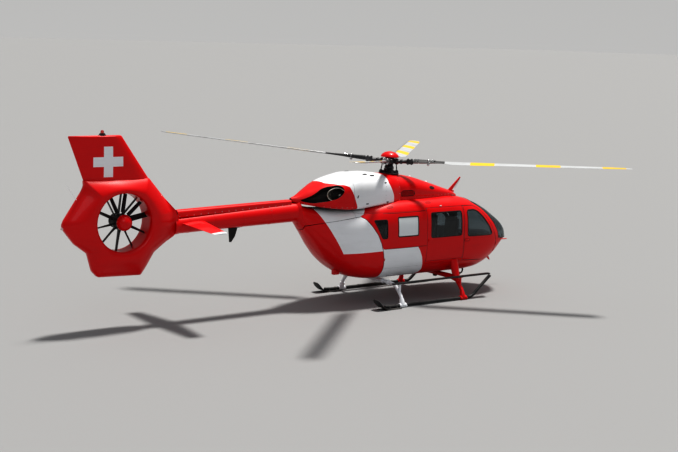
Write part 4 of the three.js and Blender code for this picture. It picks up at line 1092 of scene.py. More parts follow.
# Main rotor blades: glass and carbon fibre, 5.5 m from the mast to the tip. Each has a bare flexible
# root inside a control cuff, a steel strip on its leading edge, and yellow bands on a grey skin.
BLADE = [
    # radius, chord, thickness, leading edge ahead of the axis, twist in degrees
    [0.567, 0.13, 0.118, 0.065, 8],
    [0.62, 0.138, 0.118, 0.069, 8],
    [0.7, 0.14, 0.112, 0.07, 8],
    [0.9, 0.15, 0.096, 0.075, 8],
    [1.01, 0.12, 0.076, 0.06, 8],
    [1.2, 0.15, 0.058, 0.07, 7.5],
    [1.35, 0.25, 0.05, 0.085, 7.2],
    [1.5, 0.325, 0.044, 0.095, 7],
    [3.5, 0.325, 0.038, 0.095, 3.5],
    [4.95, 0.325, 0.034, 0.095, 1],
    [5.15, 0.312, 0.03, 0.086, 0.7],
    [5.3, 0.285, 0.026, 0.07, 0.4],
    [5.44, 0.215, 0.018, 0.025, 0.2],
    [5.488, 0.15, 0.013, -0.02, 0.1],
    [5.5, 0.1, 0.008, -0.055, 0],
]
SECTION_SHARES = [
    # share of the chord, upper height, lower height, in thicknesses
    (0.0, 0.0, 0.0), (0.012, 0.17, -0.13), (0.04, 0.29, -0.22), (0.1, 0.42, -0.31), (0.2, 0.495, -0.355),
    (0.32, 0.5, -0.36), (0.5, 0.4, -0.29), (0.68, 0.26, -0.19), (0.85, 0.12, -0.09), (0.97, 0.035, -0.03),
    (1.0, 0.02, -0.02),
]
blade_loop = [(s, up) for s, up, _ in SECTION_SHARES] + [(s, low) for s, _, low in SECTION_SHARES[:0:-1]]


def blade_ring(radius, chord, thick, lead, twist):
    """The blade's section at one radius."""
    angle = math.radians(twist)
    ring = []
    for share, high in blade_loop:
        back, z = lead - share * chord, high * thick
        ring.append((
            radius * math.cos(BLADE_CONE) - z * math.sin(BLADE_CONE),
            back * math.cos(angle) - z * math.sin(angle),
            radius * math.sin(BLADE_CONE) + back * math.sin(angle) + z * math.cos(angle),
        ))
    return ring


def rows_between(rows, step):
    """The table with rows added, so that no stretch along the blade is longer than the step."""
    rows = np.array(rows, float)
    result = []
    for a, b in zip(rows, rows[1:]):
        parts = max(1, math.ceil((b[0] - a[0]) / step))
        result += [a + (b - a) * k / parts for k in range(parts)]
    return np.array([*result, rows[-1]])


BANDS = [(1.87, 2.42), (3.355, 3.905), (4.84, 5.3625)]
CUFF_END = 1.28
LEADING_STRIP, STRIP_START = 0.12, 1.5  # share of the chord under the steel strip, and where that starts
blade_skin = finish("blade_skin", (0.5, 0.52, 0.54), 0.42, dirt=0.35, dirt_colour=(0.16, 0.15, 0.14), coat=0.15)
blade_yellow = finish("blade_yellow", (0.8, 0.52, 0.03), 0.4, dirt=0.25, dirt_colour=(0.3, 0.2, 0.08), coat=0.15)
blade_dark_and_shade = finish("blade_dark_and_shade", (0.03, 0.031, 0.034), 0.48, dirt=0.4, dirt_colour=(0.1, 0.1, 0.1), grain=260.0)
blade_finishes = [blade_skin, blade_yellow, blade_dark_and_shade, bright_metal]
GREY, YELLOW, DARK, STEEL = range(4)
blade_table = np.array(BLADE, float)
marks = np.union1d(blade_table[:, 0], [CUFF_END, *np.ravel(BANDS)])
blade_table = np.stack([np.interp(marks, blade_table[:, 0], column) for column in blade_table.T], 1)
blade_rows = rows_between(blade_table, 0.16)
blade_shape = lofted([blade_ring(*row) for row in blade_rows])
# Kinds: the cuff and the root dark, the leading-edge strip steel, the bands yellow; elsewhere the top is grey and the
# underside dark, and that dark underside is painted shade.
blade_kinds = []
upper_count = len(SECTION_SHARES) - 1
for near, far in zip(blade_rows[:, 0], blade_rows[1:, 0]):
    middle = (near + far) / 2
    for k, (share, _) in enumerate(blade_loop):
        share = max(share, blade_loop[(k + 1) % len(blade_loop)][0])
        if middle < CUFF_END:
            kind = DARK
        elif share <= LEADING_STRIP:
            kind = STEEL if middle > STRIP_START else DARK
        elif any(low < middle < high for low, high in BANDS):
            kind = YELLOW
        else:
            kind = GREY if k < upper_count else DARK
        blade_kinds.append(kind)
blade_kinds += [DARK, GREY]
for number, azimuth in enumerate(BLADE_AZIMUTHS, 1):
    parts, kinds = [blade_shape], list(blade_kinds)
    fittings = []
    for y in (-0.045, 0.045):
        fittings.append(lathe([(0.016, -0.03), (0.02, -0.026), (0.02, -0.012), (0.028, -0.01), (0.028, 0.082),
                               (0.02, 0.085), (0.02, 0.1), (0.012, 0.108)], 12, (0.9, y, 0.0)))
    fittings.append(lathe([(0.034, 0.05), (0.034, 0.085), (0.016, 0.092), (0.014, 0.112), (0.006, 0.12)], 20,
                          (1.0, 0, 0)))
    fittings.append(bar([(0.93, 0.0, 0.075), (1.06, 0.0, 0.1)], [0.012, 0.014], 10, 1.5))
    for x in (0.6, 0.66):
        for y in (-0.03, 0.03):
            fittings.append(lathe([(0.011, 0.06), (0.011, 0.092), (0.008, 0.098)], 6,
                                  (x, y, x * math.tan(BLADE_CONE) - 0.03)))
    for fitting in fittings:
        parts.append(fitting)
        kinds += [STEEL] * len(fitting[1])
    turn = ROTOR_TURN @ Matrix.Rotation(math.radians(-azimuth), 4, "Z")
    add_piece(f"main_blade_{number}", all_placed(parts, turn), blade_finishes,
              [f"rotor_blade_{number}"], body_name="main_rotor", crease=40, kinds=kinds)

# Tail boom: a light-alloy tube, riveted at its frames, that tapers back from the cabin. Along its top
# runs the low cover of the tail rotor's drive shaft, with a hinge line and quarter-turn studs.
BOOM = [
    [-2.601, 1.945, 2.16, 2.375, 0.215, 2.1, 2.1],
    [-4.0, 1.915, 2.11, 2.305, 0.195, 2.1, 2.1],
    [-5.65, 1.87, 2.045, 2.22, 0.175, 2.1, 2.1],
]
SHAFT_COVER = [
    [-2.78, 2.3, 2.39, 2.44, 0.11, 4, 2.6],
    [-3.5, 2.27, 2.37, 2.425, 0.11, 4, 2.6],
    [-5.63, 2.17, 2.29, 2.372, 0.105, 4, 2.6],
]
boom_skin, cover_skin = Skin(BOOM), Skin(SHAFT_COVER)


def skin_rings(skin, stations, depths, sides=64):
    """A body's sections at those places, each that far below its skin."""
    u = skin.along(np.array(stations))[:, None]
    return skin.point(u, all_round(sides)[None], np.array(depths)[:, None] * np.ones(sides))


def round_tube(skin, rear, front, wall, bands):
    """A hollow length of a body, with raised bands round it at the given (x, height, half width)."""
    stations = np.linspace(front, rear, 24)
    for x, _, width in bands:
        stations = np.append(stations, [x - width, x - width + 0.002, x + width - 0.002, x + width])
    stations = np.sort(stations)[::-1]
    heights = np.array([
        sum(high for x, high, width in bands if abs(station - x) < width - 0.001) for station in stations
    ])
    outer = skin_rings(skin, stations, -heights)
    inner = skin_rings(skin, stations, np.full(len(stations), wall))
    return lofted(np.concatenate([outer, inner[::-1]]), True)


FRAMES, BAND_HEIGHT = (-2.66, -3.35, -4.05, -4.75, -5.35, -5.6), 0.0025
boom_part = round_tube(boom_skin, -5.64, -2.603, 0.012, [(x, BAND_HEIGHT, 0.022) for x in FRAMES])
add_piece("boom_tube", [boom_part], red_paint, ["tail_boom"])
joints = [
    lofted(skin_rings(boom_skin, [rear, rear + 0.01, front - 0.01, front, front, rear], [*depths, 0.004, 0.004]), True)
    for rear, front, depths in ((-5.7, -5.6, (-0.012, -0.018, -0.01, -0.006)),
                                (-2.66, -2.5, (-0.004, -0.012, -0.055, -0.06)))
]
add_piece("boom_joint_rings", joints, red_paint)
cover_line = np.stack([cover_skin.along(np.linspace(-5.625, -2.785, 60)), np.full(60, -0.62 * GIRTH)], 1)
cover_part = form_panel(cover_skin, both_sides(cover_line, 1), depth=0.02, rim=0.004, grain=0.03)
add_formed("driveshaft_cover", cover_part)

# Shrouded tail rotor: a composite ring that swells to a thick, rounded lip round the duct. Above it
# stands the swept fin; below, the keel takes the knocks of a tail-low landing.
FAN_X, FAN_Z, DUCT_RADIUS = -6.89, 2.2, 0.59
SHROUD = [
    (-5.69, 2.38), (-5.64, 2.2), (-5.64, 2.04), (-5.7, 1.85), (-6.14, 1.53), (-6.33, 1.23), (-6.44, 1.08),
    (-7.4, 1.11), (-7.52, 1.24), (-7.62, 1.6), (-7.9, 1.81), (-8.115, 2.085), (-8.16, 2.19), (-8.12, 2.29),
    (-7.74, 2.85), (-7.69, 2.96), (-7.7, 3.07), (-6.27, 3.07),
]
DUCT_SECTION = [
    # share of the way from the throat to the outline, half thickness
    (0.0, 0.1), (0.0, 0.17), (0.012, 0.206), (0.035, 0.229), (0.07, 0.245), (0.11, 0.256), (0.17, 0.265),
    (0.26, 0.266), (0.38, 0.252), (0.52, 0.222), (0.66, 0.185), (0.8, 0.142), (0.9, 0.1), (0.97, 0.066), (1.0, 0.04),
]
BOOM_END_HALF, FIN_FOOT_HALF = 0.16, 0.086  # half thickness where the boom and the fin join the ring
shroud_line = divided(rounded(SHROUD, 0.035), 0.04)


def shroud_rings(line):
    rings = []
    for x, z in line:
        dx, dz = x - FAN_X, z - FAN_Z
        angle, reach = math.atan2(dz, dx), math.hypot(dx, dz)
        forward = max(0.0, math.cos(angle)) ** 14
        upward = max(0.0, math.sin(angle)) ** 6
        side = []
        for share, thick in DUCT_SECTION:
            thick = max(thick, BOOM_END_HALF * forward * share)
            thick = max(thick, min(FIN_FOOT_HALF, thick + 0.05 * upward) * share * upward)
            r = DUCT_RADIUS + share * (reach - DUCT_RADIUS)
            side.append((r, thick))
        ring = [*[(r, -y) for r, y in side], (side[-1][0], 0.0), *side[::-1], (side[0][0], 0.0)]
        rings.append([(FAN_X + MAST_X + r * math.cos(angle), y, FAN_Z + r * math.sin(angle)) for r, y in ring])
    return np.array(rings)


add_piece("fan_shroud", [lofted(shroud_rings(shroud_line), True)], red_paint, ["tail_shroud"],
          crease=50)

FIN = [
    # height, leading edge x, trailing edge x, half thickness, and the four columns of the cross's sides
    [3.064, -6.267, -7.697, 0.088, -6.865, -7.085, -7.28, -7.5],
    [3.12, -6.306, -7.718, 0.0864, -6.865, -7.085, -7.28, -7.5],
    [3.3275, -6.45, -7.796, 0.08, -6.865, -7.085, -7.28, -7.5],
    [3.5225, -6.586, -7.868, 0.0733, -6.865, -7.085, -7.28, -7.5],
    [3.73, -6.729, -7.947, 0.065, -6.95, -7.085, -7.28, -7.5],
    [3.925, -6.863, -8.021, 0.057, -7.08, -7.2, -7.37, -7.57],
    [3.939, -6.88, -8.018, 0.045, -7.09, -7.2, -7.37, -7.57],
    [3.947, -6.91, -8.01, 0.03, -7.1, -7.2, -7.37, -7.57],
    [3.95, -6.95, -7.99, 0.012, -7.11, -7.2, -7.37, -7.57],
]
FIN_PROFILE = [
    # share of the chord, share of the half thickness
    (0, 0), (0.004, 0.2), (0.012, 0.34), (0.03, 0.52), (0.06, 0.7), (0.12, 0.89), (0.2, 0.98), (0.32, 1),
    (0.45, 0.91), (0.58, 0.75), (0.7, 0.57), (0.85, 0.32), (1, 0.06),
]
CROSS_ROWS, CROSS_ARM_ROWS = (3.12, 3.73), (3.3275, 3.5225)
# How each stretch between two columns is divided
SPANS = [(0, 0.04, 0.12, 0.3, 0.6), (0, 0.25, 0.5, 0.75), (0, 0.33, 0.67), (0, 0.33, 0.67), (0, 0.33, 0.67),
         (0, 0.2, 0.4, 0.6, 0.8)]
fin_rows = rows_between(FIN, 0.06)
fin_rings = []
for z, lead, trail, thick, *sides in fin_rows:
    knots = [lead, lead + 0.1 * (trail - lead), *sides, trail]
    columns = [knots[i] + (knots[i + 1] - knots[i]) * share for i, span in enumerate(SPANS) for share in span]
    columns = np.array([*columns, trail])
    half = thick * np.interp((columns - lead) / (trail - lead), *np.transpose(FIN_PROFILE))
    starboard = np.stack([columns + MAST_X, -half, np.full(len(columns), z)], 1)
    fin_rings.append(np.vstack([starboard[::-1], starboard[1:] * (1, -1, 1)]))
fin_part = lofted(fin_rings)
fin_middles = np.array([fin_part[0][list(face)].mean(axis=0) for face in fin_part[1]]) - (MAST_X, 0, 0)
in_rows = [(fin_middles[:, 2] > low) & (fin_middles[:, 2] < high) for low, high in (CROSS_ROWS, CROSS_ARM_ROWS)]
upright = in_rows[0] & (fin_middles[:, 0] < FIN[1][5]) & (fin_middles[:, 0] > FIN[1][6])
level = in_rows[1] & (fin_middles[:, 0] < FIN[1][4]) & (fin_middles[:, 0] > FIN[1][7])
add_piece("tail_fin_skin", [fin_part], [red_paint, white_paint], ["tail_fin"],
          kinds=np.where(upright | level, 1, 0))

# Stator: ten fixed vanes, one of them thick enough to cover the drive shaft, which carry the hub and
# its gearbox in the duct. All are cast and forged alloy, painted black; the hub's far end is domed.
DUCT = np.array((FAN_X + MAST_X, 0.0, FAN_Z))
fan_black = finish("fan_black", (0.022, 0.022, 0.024), 0.4, dirt=0.3, dirt_colour=(0.08, 0.075, 0.07), grain=220.0)


def about_duct(profile, sides=48):
    """A turned part about the duct's axis: (radius, y) pairs."""
    turns = all_round(sides)
    return lofted([
        [DUCT + (radius * math.cos(turn), y, radius * math.sin(turn)) for turn in turns]
        for radius, y in profile
    ])


def vane(angle, inner, outer, y, chords, thick, pitch=0.0, steps=7, lean=0.0):
    """A blade or vane that stands out from the hub; its section is a slim, pitched aerofoil."""
    out = np.array((math.cos(angle), 0, math.sin(angle)))
    side = np.array((-math.sin(angle), 0, math.cos(angle)))
    rings = []
    for share in np.linspace(0, 1, steps):
        chord = chords[0] + (chords[1] - chords[0]) * share
        turn = pitch * (1.25 - 0.5 * share)
        along = np.array((0, 1, 0)) * math.cos(turn) + side * math.sin(turn)
        across = side * math.cos(turn) - np.array((0, 1, 0)) * math.sin(turn)
        middle = DUCT + out * (inner + (outer - inner) * share) + side * lean * (1 - share) + (0, y, 0)
        ring = VANE_SHARES + [(s, -t) for s, t in VANE_SHARES[-2:0:-1]]
        rings.append([middle + along * (s * chord) + across * (t * thick) for s, t in ring])
    return lofted(rings)


VANE_SHARES = [(-0.5, 0.0), (-0.46, 0.3), (-0.36, 0.48), (-0.15, 0.5), (0.15, 0.36), (0.4, 0.15), (0.5, 0.0)]
stator_parts = [about_duct([
    (0.03, 0.018), (0.146, 0.02), (0.152, 0.026), (0.152, 0.05), (0.147, 0.056), (0.147, 0.19), (0.15, 0.196),
    (0.15, 0.225), (0.143, 0.232), (0.13, 0.25), (0.1, 0.272), (0.07, 0.285), (0.03, 0.29),
])]
for k in range(10):
    angle = 2 * math.pi * (k + 0.35) / 10
    stator_parts.append(vane(angle, 0.125, 0.592, 0.075, (0.1, 0.085), 0.06 if k == 0 else 0.016, lean=0.02))
add_piece("stator_vanes", stator_parts, fan_black, ["tail_rotor_stator"])

# Tail rotor: ten forged light-alloy blades, unevenly spaced to break up the noise, pinned in a
# turned hub. The red moulded cap on the near end turns with them.
FAN_ANGLES = (10, 42, 81, 115, 155, 190, 222, 261, 295, 335)
FAN_PLANE = -0.045
fan_parts = [about_duct([
    (0.03, 0.01), (0.16, 0.008), (0.17, 0.0), (0.17, -0.02), (0.164, -0.026), (0.164, -0.064), (0.17, -0.07),
    (0.17, -0.082), (0.166, -0.09), (0.166, -0.155), (0.03, -0.158),
])]
for degrees in FAN_ANGLES:
    angle = math.radians(degrees)
    fan_parts.append(vane(angle, 0.2, 0.576, FAN_PLANE, (0.084, 0.088), 0.014, pitch=math.radians(38), steps=10))
    root = [DUCT + (math.cos(angle) * r, FAN_PLANE, math.sin(angle) * r) for r in (0.15, 0.18, 0.2, 0.214)]
    fan_parts.append(bar(root, (0.021, 0.021, 0.018, 0.008), sides=14, up=(0, 1, 0)))
add_piece("fan_blades", fan_parts, fan_black, ["tail_rotor_fan"], body_name="tail_rotor")
spinner_part = about_duct([
    (0.02, -0.161), (0.158, -0.161), (0.164, -0.164), (0.165, -0.17), (0.164, -0.19), (0.16, -0.21), (0.15, -0.236),
    (0.134, -0.262), (0.112, -0.284), (0.084, -0.303), (0.052, -0.316), (0.02, -0.322), (0.001, -0.323),
])
add_piece("fan_spinner", [spinner_part], red_paint, ["tail_rotor_spinner"], body_name="tail_rotor")

# Stabilisers: one composite plane on each side of the boom, clamped through its side. Each is red,
# with a white tip and a cambered section that pushes the tail down.
STABILISER = [
    # y, leading edge x, trailing edge x, z, half thickness
    [0.155, -5.0, -5.54, 2.1, 0.034], [0.7, -5.083, -5.522, 2.07, 0.0285], [1.255, -5.167, -5.503, 2.0395, 0.0229],
    [1.322, -5.177, -5.5, 2.036, 0.022], [1.334, -5.186, -5.494, 2.0354, 0.015], [1.34, -5.2, -5.482, 2.035, 0.004],
]
PLANE_PROFILE = [
    # share of the chord, upper and lower share of the half thickness
    (0, 0, 0), (0.008, 0.3, -0.28), (0.025, 0.5, -0.46), (0.06, 0.72, -0.65), (0.15, 0.93, -0.84), (0.3, 1, -0.9),
    (0.5, 0.82, -0.72), (0.75, 0.46, -0.4), (1, 0.09, -0.09),
]
WHITE_TIP_START = 1.255
plane_rings = []
for y, lead, trail, z, thick in rows_between(STABILISER, 0.09):
    ring = [(share, up) for share, up, _ in PLANE_PROFILE] + [(share, low) for share, _, low in PLANE_PROFILE[:0:-1]]
    plane_rings.append([(lead + (trail - lead) * share + MAST_X, y, z + up * thick) for share, up in ring])
plane_part = lofted(plane_rings)
plane_kinds = [plane_part[0][list(face)][:, 1].mean() > WHITE_TIP_START for face in plane_part[1]]
for side_name, part in (("left", plane_part), ("right", to_port(plane_part))):
    add_piece(f"tailplane_{side_name}", [part], [red_paint, white_paint],
              [f"stabiliser_{side_name}"], kinds=plane_kinds)

# Skid landing gear: two bowed light-alloy cross tubes, clamped under the cabin. The front one is red,
# with moulded fairings over its upper arms; the rear one is white. Saddles clamp them to the skids.
SKID_Y, SKID_Z, SKID_RADIUS, STEP_Y = 1.158, 0.045, 0.038, 1.045
ARCH_HEIGHT = 0.487  # of the cross tubes' level middle part
EAR_REACH = 0.079  # how far each saddle's bolted ears lie from its cross tube


def eased(points, steps=6):
    """A smooth open line through the points."""
    points = np.array(points, float)
    ends = np.vstack([2 * points[0] - points[1], points, 2 * points[-1] - points[-2]])
    line = []
    for a, b, c, d in zip(ends, ends[1:], ends[2:], ends[3:]):
        for t in np.arange(steps) / steps:
            bend = (2 * a - 5 * b + 4 * c - d) * t**2 + (3 * b - a - 3 * c + d) * t**3
            line.append(0.5 * (2 * b + (c - a) * t + bend))
    return np.array([*line, points[-1]])


def saddle(x):
    """The clamp that joins a cross tube to its skid: a split sleeve with a thick band at each end."""
    sleeve = [(-0.098, 0.04), (-0.098, 0.049), (-0.092, 0.056), (-0.066, 0.056), (-0.06, 0.05), (-0.03, 0.048),
              (0, 0.048)]
    sleeve += [(-along, radius) for along, radius in sleeve[-2::-1]]
    sleeve = lathe([(radius, along) for along, radius in sleeve], 36, (x, -SKID_Y, SKID_Z), "X")
    parts = [(np.maximum(sleeve[0], (-9, -9, 0.003)), sleeve[1])]  # flat below, where it clears the ground
    socket = eased([(x, -SKID_Y, SKID_Z + 0.01), (x, -1.146, 0.115), (x, -1.118, 0.19)], 5)
    parts.append(bar(socket, np.linspace(0.068, 0.053, len(socket)), 28, up=(1, 0, 0)))
    for side in (-1, 1):
        ear_x = x + side * EAR_REACH
        parts.append(block((ear_x - 0.014, -SKID_Y - 0.078, SKID_Z - 0.013),
                           (ear_x + 0.014, -SKID_Y + 0.078, SKID_Z + 0.013)))
    return parts


def cross_tube(x, radius, radius_top, extra):
    bow = [(x, -1.158, 0.07), (x, -1.14, 0.14), (x, -1.085, 0.26), (x, -0.9, 0.44), (x, -0.72, 0.482),
           (x, -0.5, ARCH_HEIGHT), (x, -0.25, ARCH_HEIGHT), (x, 0, ARCH_HEIGHT)]
    half = eased(bow, 7)
    line = np.vstack([half, half[-2::-1] * (1, -1, 1)])
    swell = np.interp(np.abs(line[:, 1]), (0, 0.7, 1.0, 1.158), (radius_top, radius_top, radius, radius * 0.94))
    bracket = [
        block((x - 0.026, -STEP_Y - 0.016, 0.3), (x + 0.026, -STEP_Y + 0.016, 0.512), 0.006),
        block((x - 0.05, -STEP_Y - 0.034, 0.504), (x + 0.05, -STEP_Y + 0.034, 0.5145), 0.003),
    ]
    return [bar(line, swell, 28, up=(1, 0, 0))] + both(saddle(x) + bracket + extra)


FRONT_GEAR, REAR_GEAR = 1.41, -0.413
arm = eased([(FRONT_GEAR, -0.775, 0.885), (FRONT_GEAR, -0.83, 0.72), (FRONT_GEAR, -0.885, 0.56),
             (FRONT_GEAR, -0.945, 0.42)])
sleeve_line = [(FRONT_GEAR, -0.9, 0.455), (FRONT_GEAR, -0.7, 0.484), (FRONT_GEAR, -0.3, ARCH_HEIGHT),
               (FRONT_GEAR, 0, ARCH_HEIGHT)]
fairings = [
    bar(arm, np.interp(arm[:, 2], (0.42, 0.5, 0.7, 0.885), (0.062, 0.088, 0.104, 0.112)), 32, 0.78, up=(1, 0, 0)),
    bar(eased(sleeve_line), np.linspace(0.084, 0.068, 19), 32, 0.74, up=(1, 0, 0)),
]
add_piece("front_cross_tube", at_mast(cross_tube(FRONT_GEAR, 0.046, 0.046, fairings)), red_paint,
          ["cross_tube_front"])
COLLAR = [(0.042, -0.03), (0.056, -0.028), (0.058, 0), (0.056, 0.028), (0.042, 0.03)]
collars = [lathe(COLLAR, 32, (REAR_GEAR, y, ARCH_HEIGHT), "Y") for y in (-0.62, -0.42)]
add_piece("rear_cross_tube", at_mast(cross_tube(REAR_GEAR, 0.042, 0.042, collars)), white_paint,
          ["cross_tube_rear"])

# Skids: drawn light-alloy tubes, swept up at the front, with bolted steel wear shoes beneath. A bent
# plastic snow pad is clipped under each tail; its rear end curls up like a ski.
black_paint = finish("black_paint", (0.021, 0.022, 0.024), 0.42, dirt=0.45, dirt_colour=(0.09, 0.085, 0.08),
                     grain=260.0, bump=0.0006, coat=0.1)
pad_plastic = finish("snow_pad", (0.03, 0.031, 0.033), 0.55, dirt=0.6, dirt_colour=(0.13, 0.12, 0.11), grain=200.0,
                     bump=0.001)
shoe_steel = finish("shoe_steel", (0.3, 0.3, 0.31), 0.45, dirt=0.7, dirt_colour=(0.07, 0.06, 0.05), grain=120.0,
                    bump=0.001, metallic=0.8)


def plate(line, half_widths, half_thick, y=0.0):
    """A bent plate along points in (x, z), with rounded edges, centred on y."""
    line = np.array(line, float)
    upper = [(1, -0.3), (1, 0.3), (0.985, 0.8), (0.95, 1), (0, 1), (-0.95, 1), (-0.985, 0.8)]
    ring = upper + [(-across, -up) for across, up in upper]
    rings = []
    for (x, z), (wx, wz), wide in zip(line, unit(np.gradient(line, axis=0)), np.broadcast_to(half_widths, len(line))):
        rings.append([(x - wz * up * half_thick, y + across * wide, z + wx * up * half_thick) for across, up in ring])
    return lofted(rings)


skid_line = eased([(-0.905, 0, 0.058), (-0.8, 0, 0.049), (-0.6, 0, 0.045), (0.2, 0, 0.045), (1.0, 0, 0.045),
                   (1.48, 0, 0.045), (1.68, 0, 0.067), (1.9, 0, 0.235), (2.235, 0, 0.502)], 8)
skid_line[:, 1] = -SKID_Y
tube = bar(skid_line, SKID_RADIUS, 26, up=(0, 1, 0))
END_CAP = np.array([(-0.02, 0.0395), (0, 0.0395), (0.008, 0.036), (0.014, 0.027), (0.018, 0.014), (0.019, 0.002)])
ends = []
for spot, before in ((skid_line[0], skid_line[1]), (skid_line[-1], skid_line[-2])):
    ends.append(bar(spot + unit(spot - before) * END_CAP[:, :1], END_CAP[:, 1], 26, up=(0, 1, 0)))
shoe = block((-0.56, -SKID_Y - 0.024, 0.0), (1.555, -SKID_Y + 0.024, 0.018))
shoe_straps = [
    lathe([(0.0385, -0.022), (0.0425, -0.02), (0.0425, 0.02), (0.0385, 0.022)], 30, (x, -SKID_Y, SKID_Z), "X")
    for x in (-0.5, 0.1, 0.62, 1.14, 1.54)
]
pad_line = eased([(-1.18, 0.24), (-1.1, 0.137), (-1.0, 0.054), (-0.9, 0.021), (-0.81, 0.008), (-0.66, 0.008),
                  (-0.517, 0.008)])
along_pad = np.linspace(0, 1, len(pad_line))
pad_widths = 0.139 * np.interp(along_pad, (0, 0.02, 0.06, 0.13, 0.95, 0.985, 1), (0.55, 0.72, 0.88, 1, 1, 0.97, 0.9))
pad = plate(pad_line, pad_widths, 0.0075, -SKID_Y)
pad_ribs = [plate(pad_line[4:-4] + (0, 0.004), 0.006, 0.009, -SKID_Y + y) for y in (-0.09, 0.09)]
PAD_CLIPS, CLIP_BAND = (-0.8, -0.6), [(0.0385, -0.016), (0.043, -0.014), (0.043, 0.014), (0.0385, 0.016)]
pad_clips = [block((x - 0.02, -SKID_Y - 0.06, 0.012), (x + 0.02, -SKID_Y + 0.06, 0.03)) for x in PAD_CLIPS]
pad_clips += [lathe(CLIP_BAND, 30, (x, -SKID_Y, SKID_Z + 0.002), "X") for x in PAD_CLIPS]
add_pair("skid_tube", at_mast([tube, *ends, *shoe_straps]), black_paint, "skid")
add_pair("skid_shoe", at_mast([shoe]), shoe_steel)
add_pair("snow_pad", at_mast([pad, *pad_ribs, *pad_clips]), pad_plastic)

# Boarding steps: a long hollow alloy plank on each side, above the skid and level with the cabin
# doors' sills. Pressed ribs across its top give grip.
step_line = [(x, 0.5305) for x in (-0.628, -0.62, -0.605, -0.58, 0.0, 0.8, 1.6, 2.28, 2.305, 2.32, 2.328)]
step_widths = [0.03, 0.042, 0.05, 0.0545, 0.0545, 0.0545, 0.0545, 0.0545, 0.05, 0.042, 0.03]
step = plate(step_line, step_widths, 0.0135, -STEP_Y)
add_pair("step_plank", at_mast([step]), black_paint, "boarding_step")


def repeated(name, spots, facings, shape, material, width=1.0):
    """One small closed shape set on many points of the airframe by Geometry Nodes, as one plain mesh."""
    carrier = bpy.data.meshes.new(f"{name}_points")
    carrier.from_pydata([tuple(spot) for spot in spots], [], [])
    facing = carrier.attributes.new("facing", "FLOAT_VECTOR", "POINT")
    facing.data.foreach_set("vector", np.array(facings, float).ravel())
    holder = bpy.data.objects.new(name, carrier)
    bpy.context.scene.collection.objects.link(holder)
    modifier = holder.modifiers.new("repeat", "NODES")
    modifier.node_group = setting_out
    sockets = {item.name: item.identifier for item in setting_out.interface.items_tree if item.in_out == "INPUT"}
    modifier[sockets["Shape"]], modifier[sockets["Finish"]] = shape, material
    modifier[sockets["Width"]], modifier[sockets["Height"]] = width, 1.0
    made = bpy.data.meshes.new_from_object(holder.evaluated_get(bpy.context.evaluated_depsgraph_get()))
    holder.modifiers.remove(modifier)
    holder.data = made
    made.name = name
    made.polygons.foreach_set("use_smooth", [True] * len(made.polygons))
    made.set_sharp_from_angle(angle=math.radians(35))
    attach(holder, "airframe")


def master_shape(name, part):
    """A small shape to be repeated, kept out of the scene; its z axis points outwards."""
    return bpy.data.objects.new(name, mesh_of(name, part))


setting_out = bpy.data.node_groups.new("setting_out", "GeometryNodeTree")
for label, kind in (("Geometry", "Geometry"), ("Shape", "Object"), ("Width", "Float"), ("Height", "Float"),
                    ("Finish", "Material")):
    setting_out.interface.new_socket(label, in_out="INPUT", socket_type=f"NodeSocket{kind}")
setting_out.interface.new_socket("Geometry", in_out="OUTPUT", socket_type="NodeSocketGeometry")
entry, result = add_node(setting_out, "NodeGroupInput"), add_node(setting_out, "NodeGroupOutput")
shape_info = add_node(setting_out, "GeometryNodeObjectInfo", transform_space="ORIGINAL")
facing_read = add_node(setting_out, "GeometryNodeInputNamedAttribute", {"Name": "facing"}, data_type="FLOAT_VECTOR")
size = add_node(setting_out, "ShaderNodeCombineXYZ")
aligned = add_node(setting_out, "FunctionNodeAlignRotationToVector", axis="Z")
to_points = add_node(setting_out, "GeometryNodeMeshToPoints")
placing = add_node(setting_out, "GeometryNodeInstanceOnPoints")
real = add_node(setting_out, "GeometryNodeRealizeInstances")
painted = add_node(setting_out, "GeometryNodeSetMaterial")
connect(setting_out, (entry, "Geometry", to_points, "Mesh"), (entry, "Shape", shape_info, "Object"),
        (facing_read, "Attribute", aligned, "Vector"), (to_points, "Points", placing, "Points"),
        (shape_info, "Geometry", placing, "Instance"), (aligned, "Rotation", placing, "Rotation"),
        *[(entry, label, size, axis) for label, axis in (("Width", "X"), ("Width", "Y"), ("Height", "Z"))],
        (size, "Vector", placing, "Scale"), (placing, "Instances", real, "Geometry"),
        (real, "Geometry", painted, "Geometry"), (entry, "Finish", painted, "Material"),
        (painted, "Geometry", result, "Geometry"))

rib_shape = master_shape("rib", block((-0.004, -0.044, 0.0), (0.004, 0.044, 0.0035), 0.0015))
rib_spots = [(x + MAST_X, side * STEP_Y, 0.5435) for side in (-1, 1) for x in np.arange(-0.56, 2.27, 0.032)]
repeated("step_ribs", rib_spots, [(0, 0, 1)] * len(rib_spots), rib_shape, black_paint)

# Fittings on the doors and cabin: flush handles in shallow cups, the sliding doors' rails, roof-edge
# hand-holds, hinge knuckles and catches. They are cast or machined alloy, painted or left bare.
fitting_black = finish("fitting_black", (0.02, 0.02, 0.021), 0.45, dirt=0.3, dirt_colour=(0.08, 0.075, 0.07),
                       grain=400.0)
bare_alloy = finish("bare_alloy", (0.56, 0.57, 0.58), 0.32, dirt=0.4, dirt_colour=(0.12, 0.11, 0.1), metallic=0.9)


def spot_round(skin, x, angle, raised=0.0):
    """A point above the skin at x and that angle, with the way it faces."""
    u, angle = np.array([skin.along(x)]), np.array([angle])
    return skin.point(u, angle, -raised)[0], skin.facing(u, angle)[0]


def skin_spot(skin, x, z):
    """A point on the starboard side of a body at that x and height, with the way it faces."""
    return spot_round(skin, x, skin.angle_at(x, z))


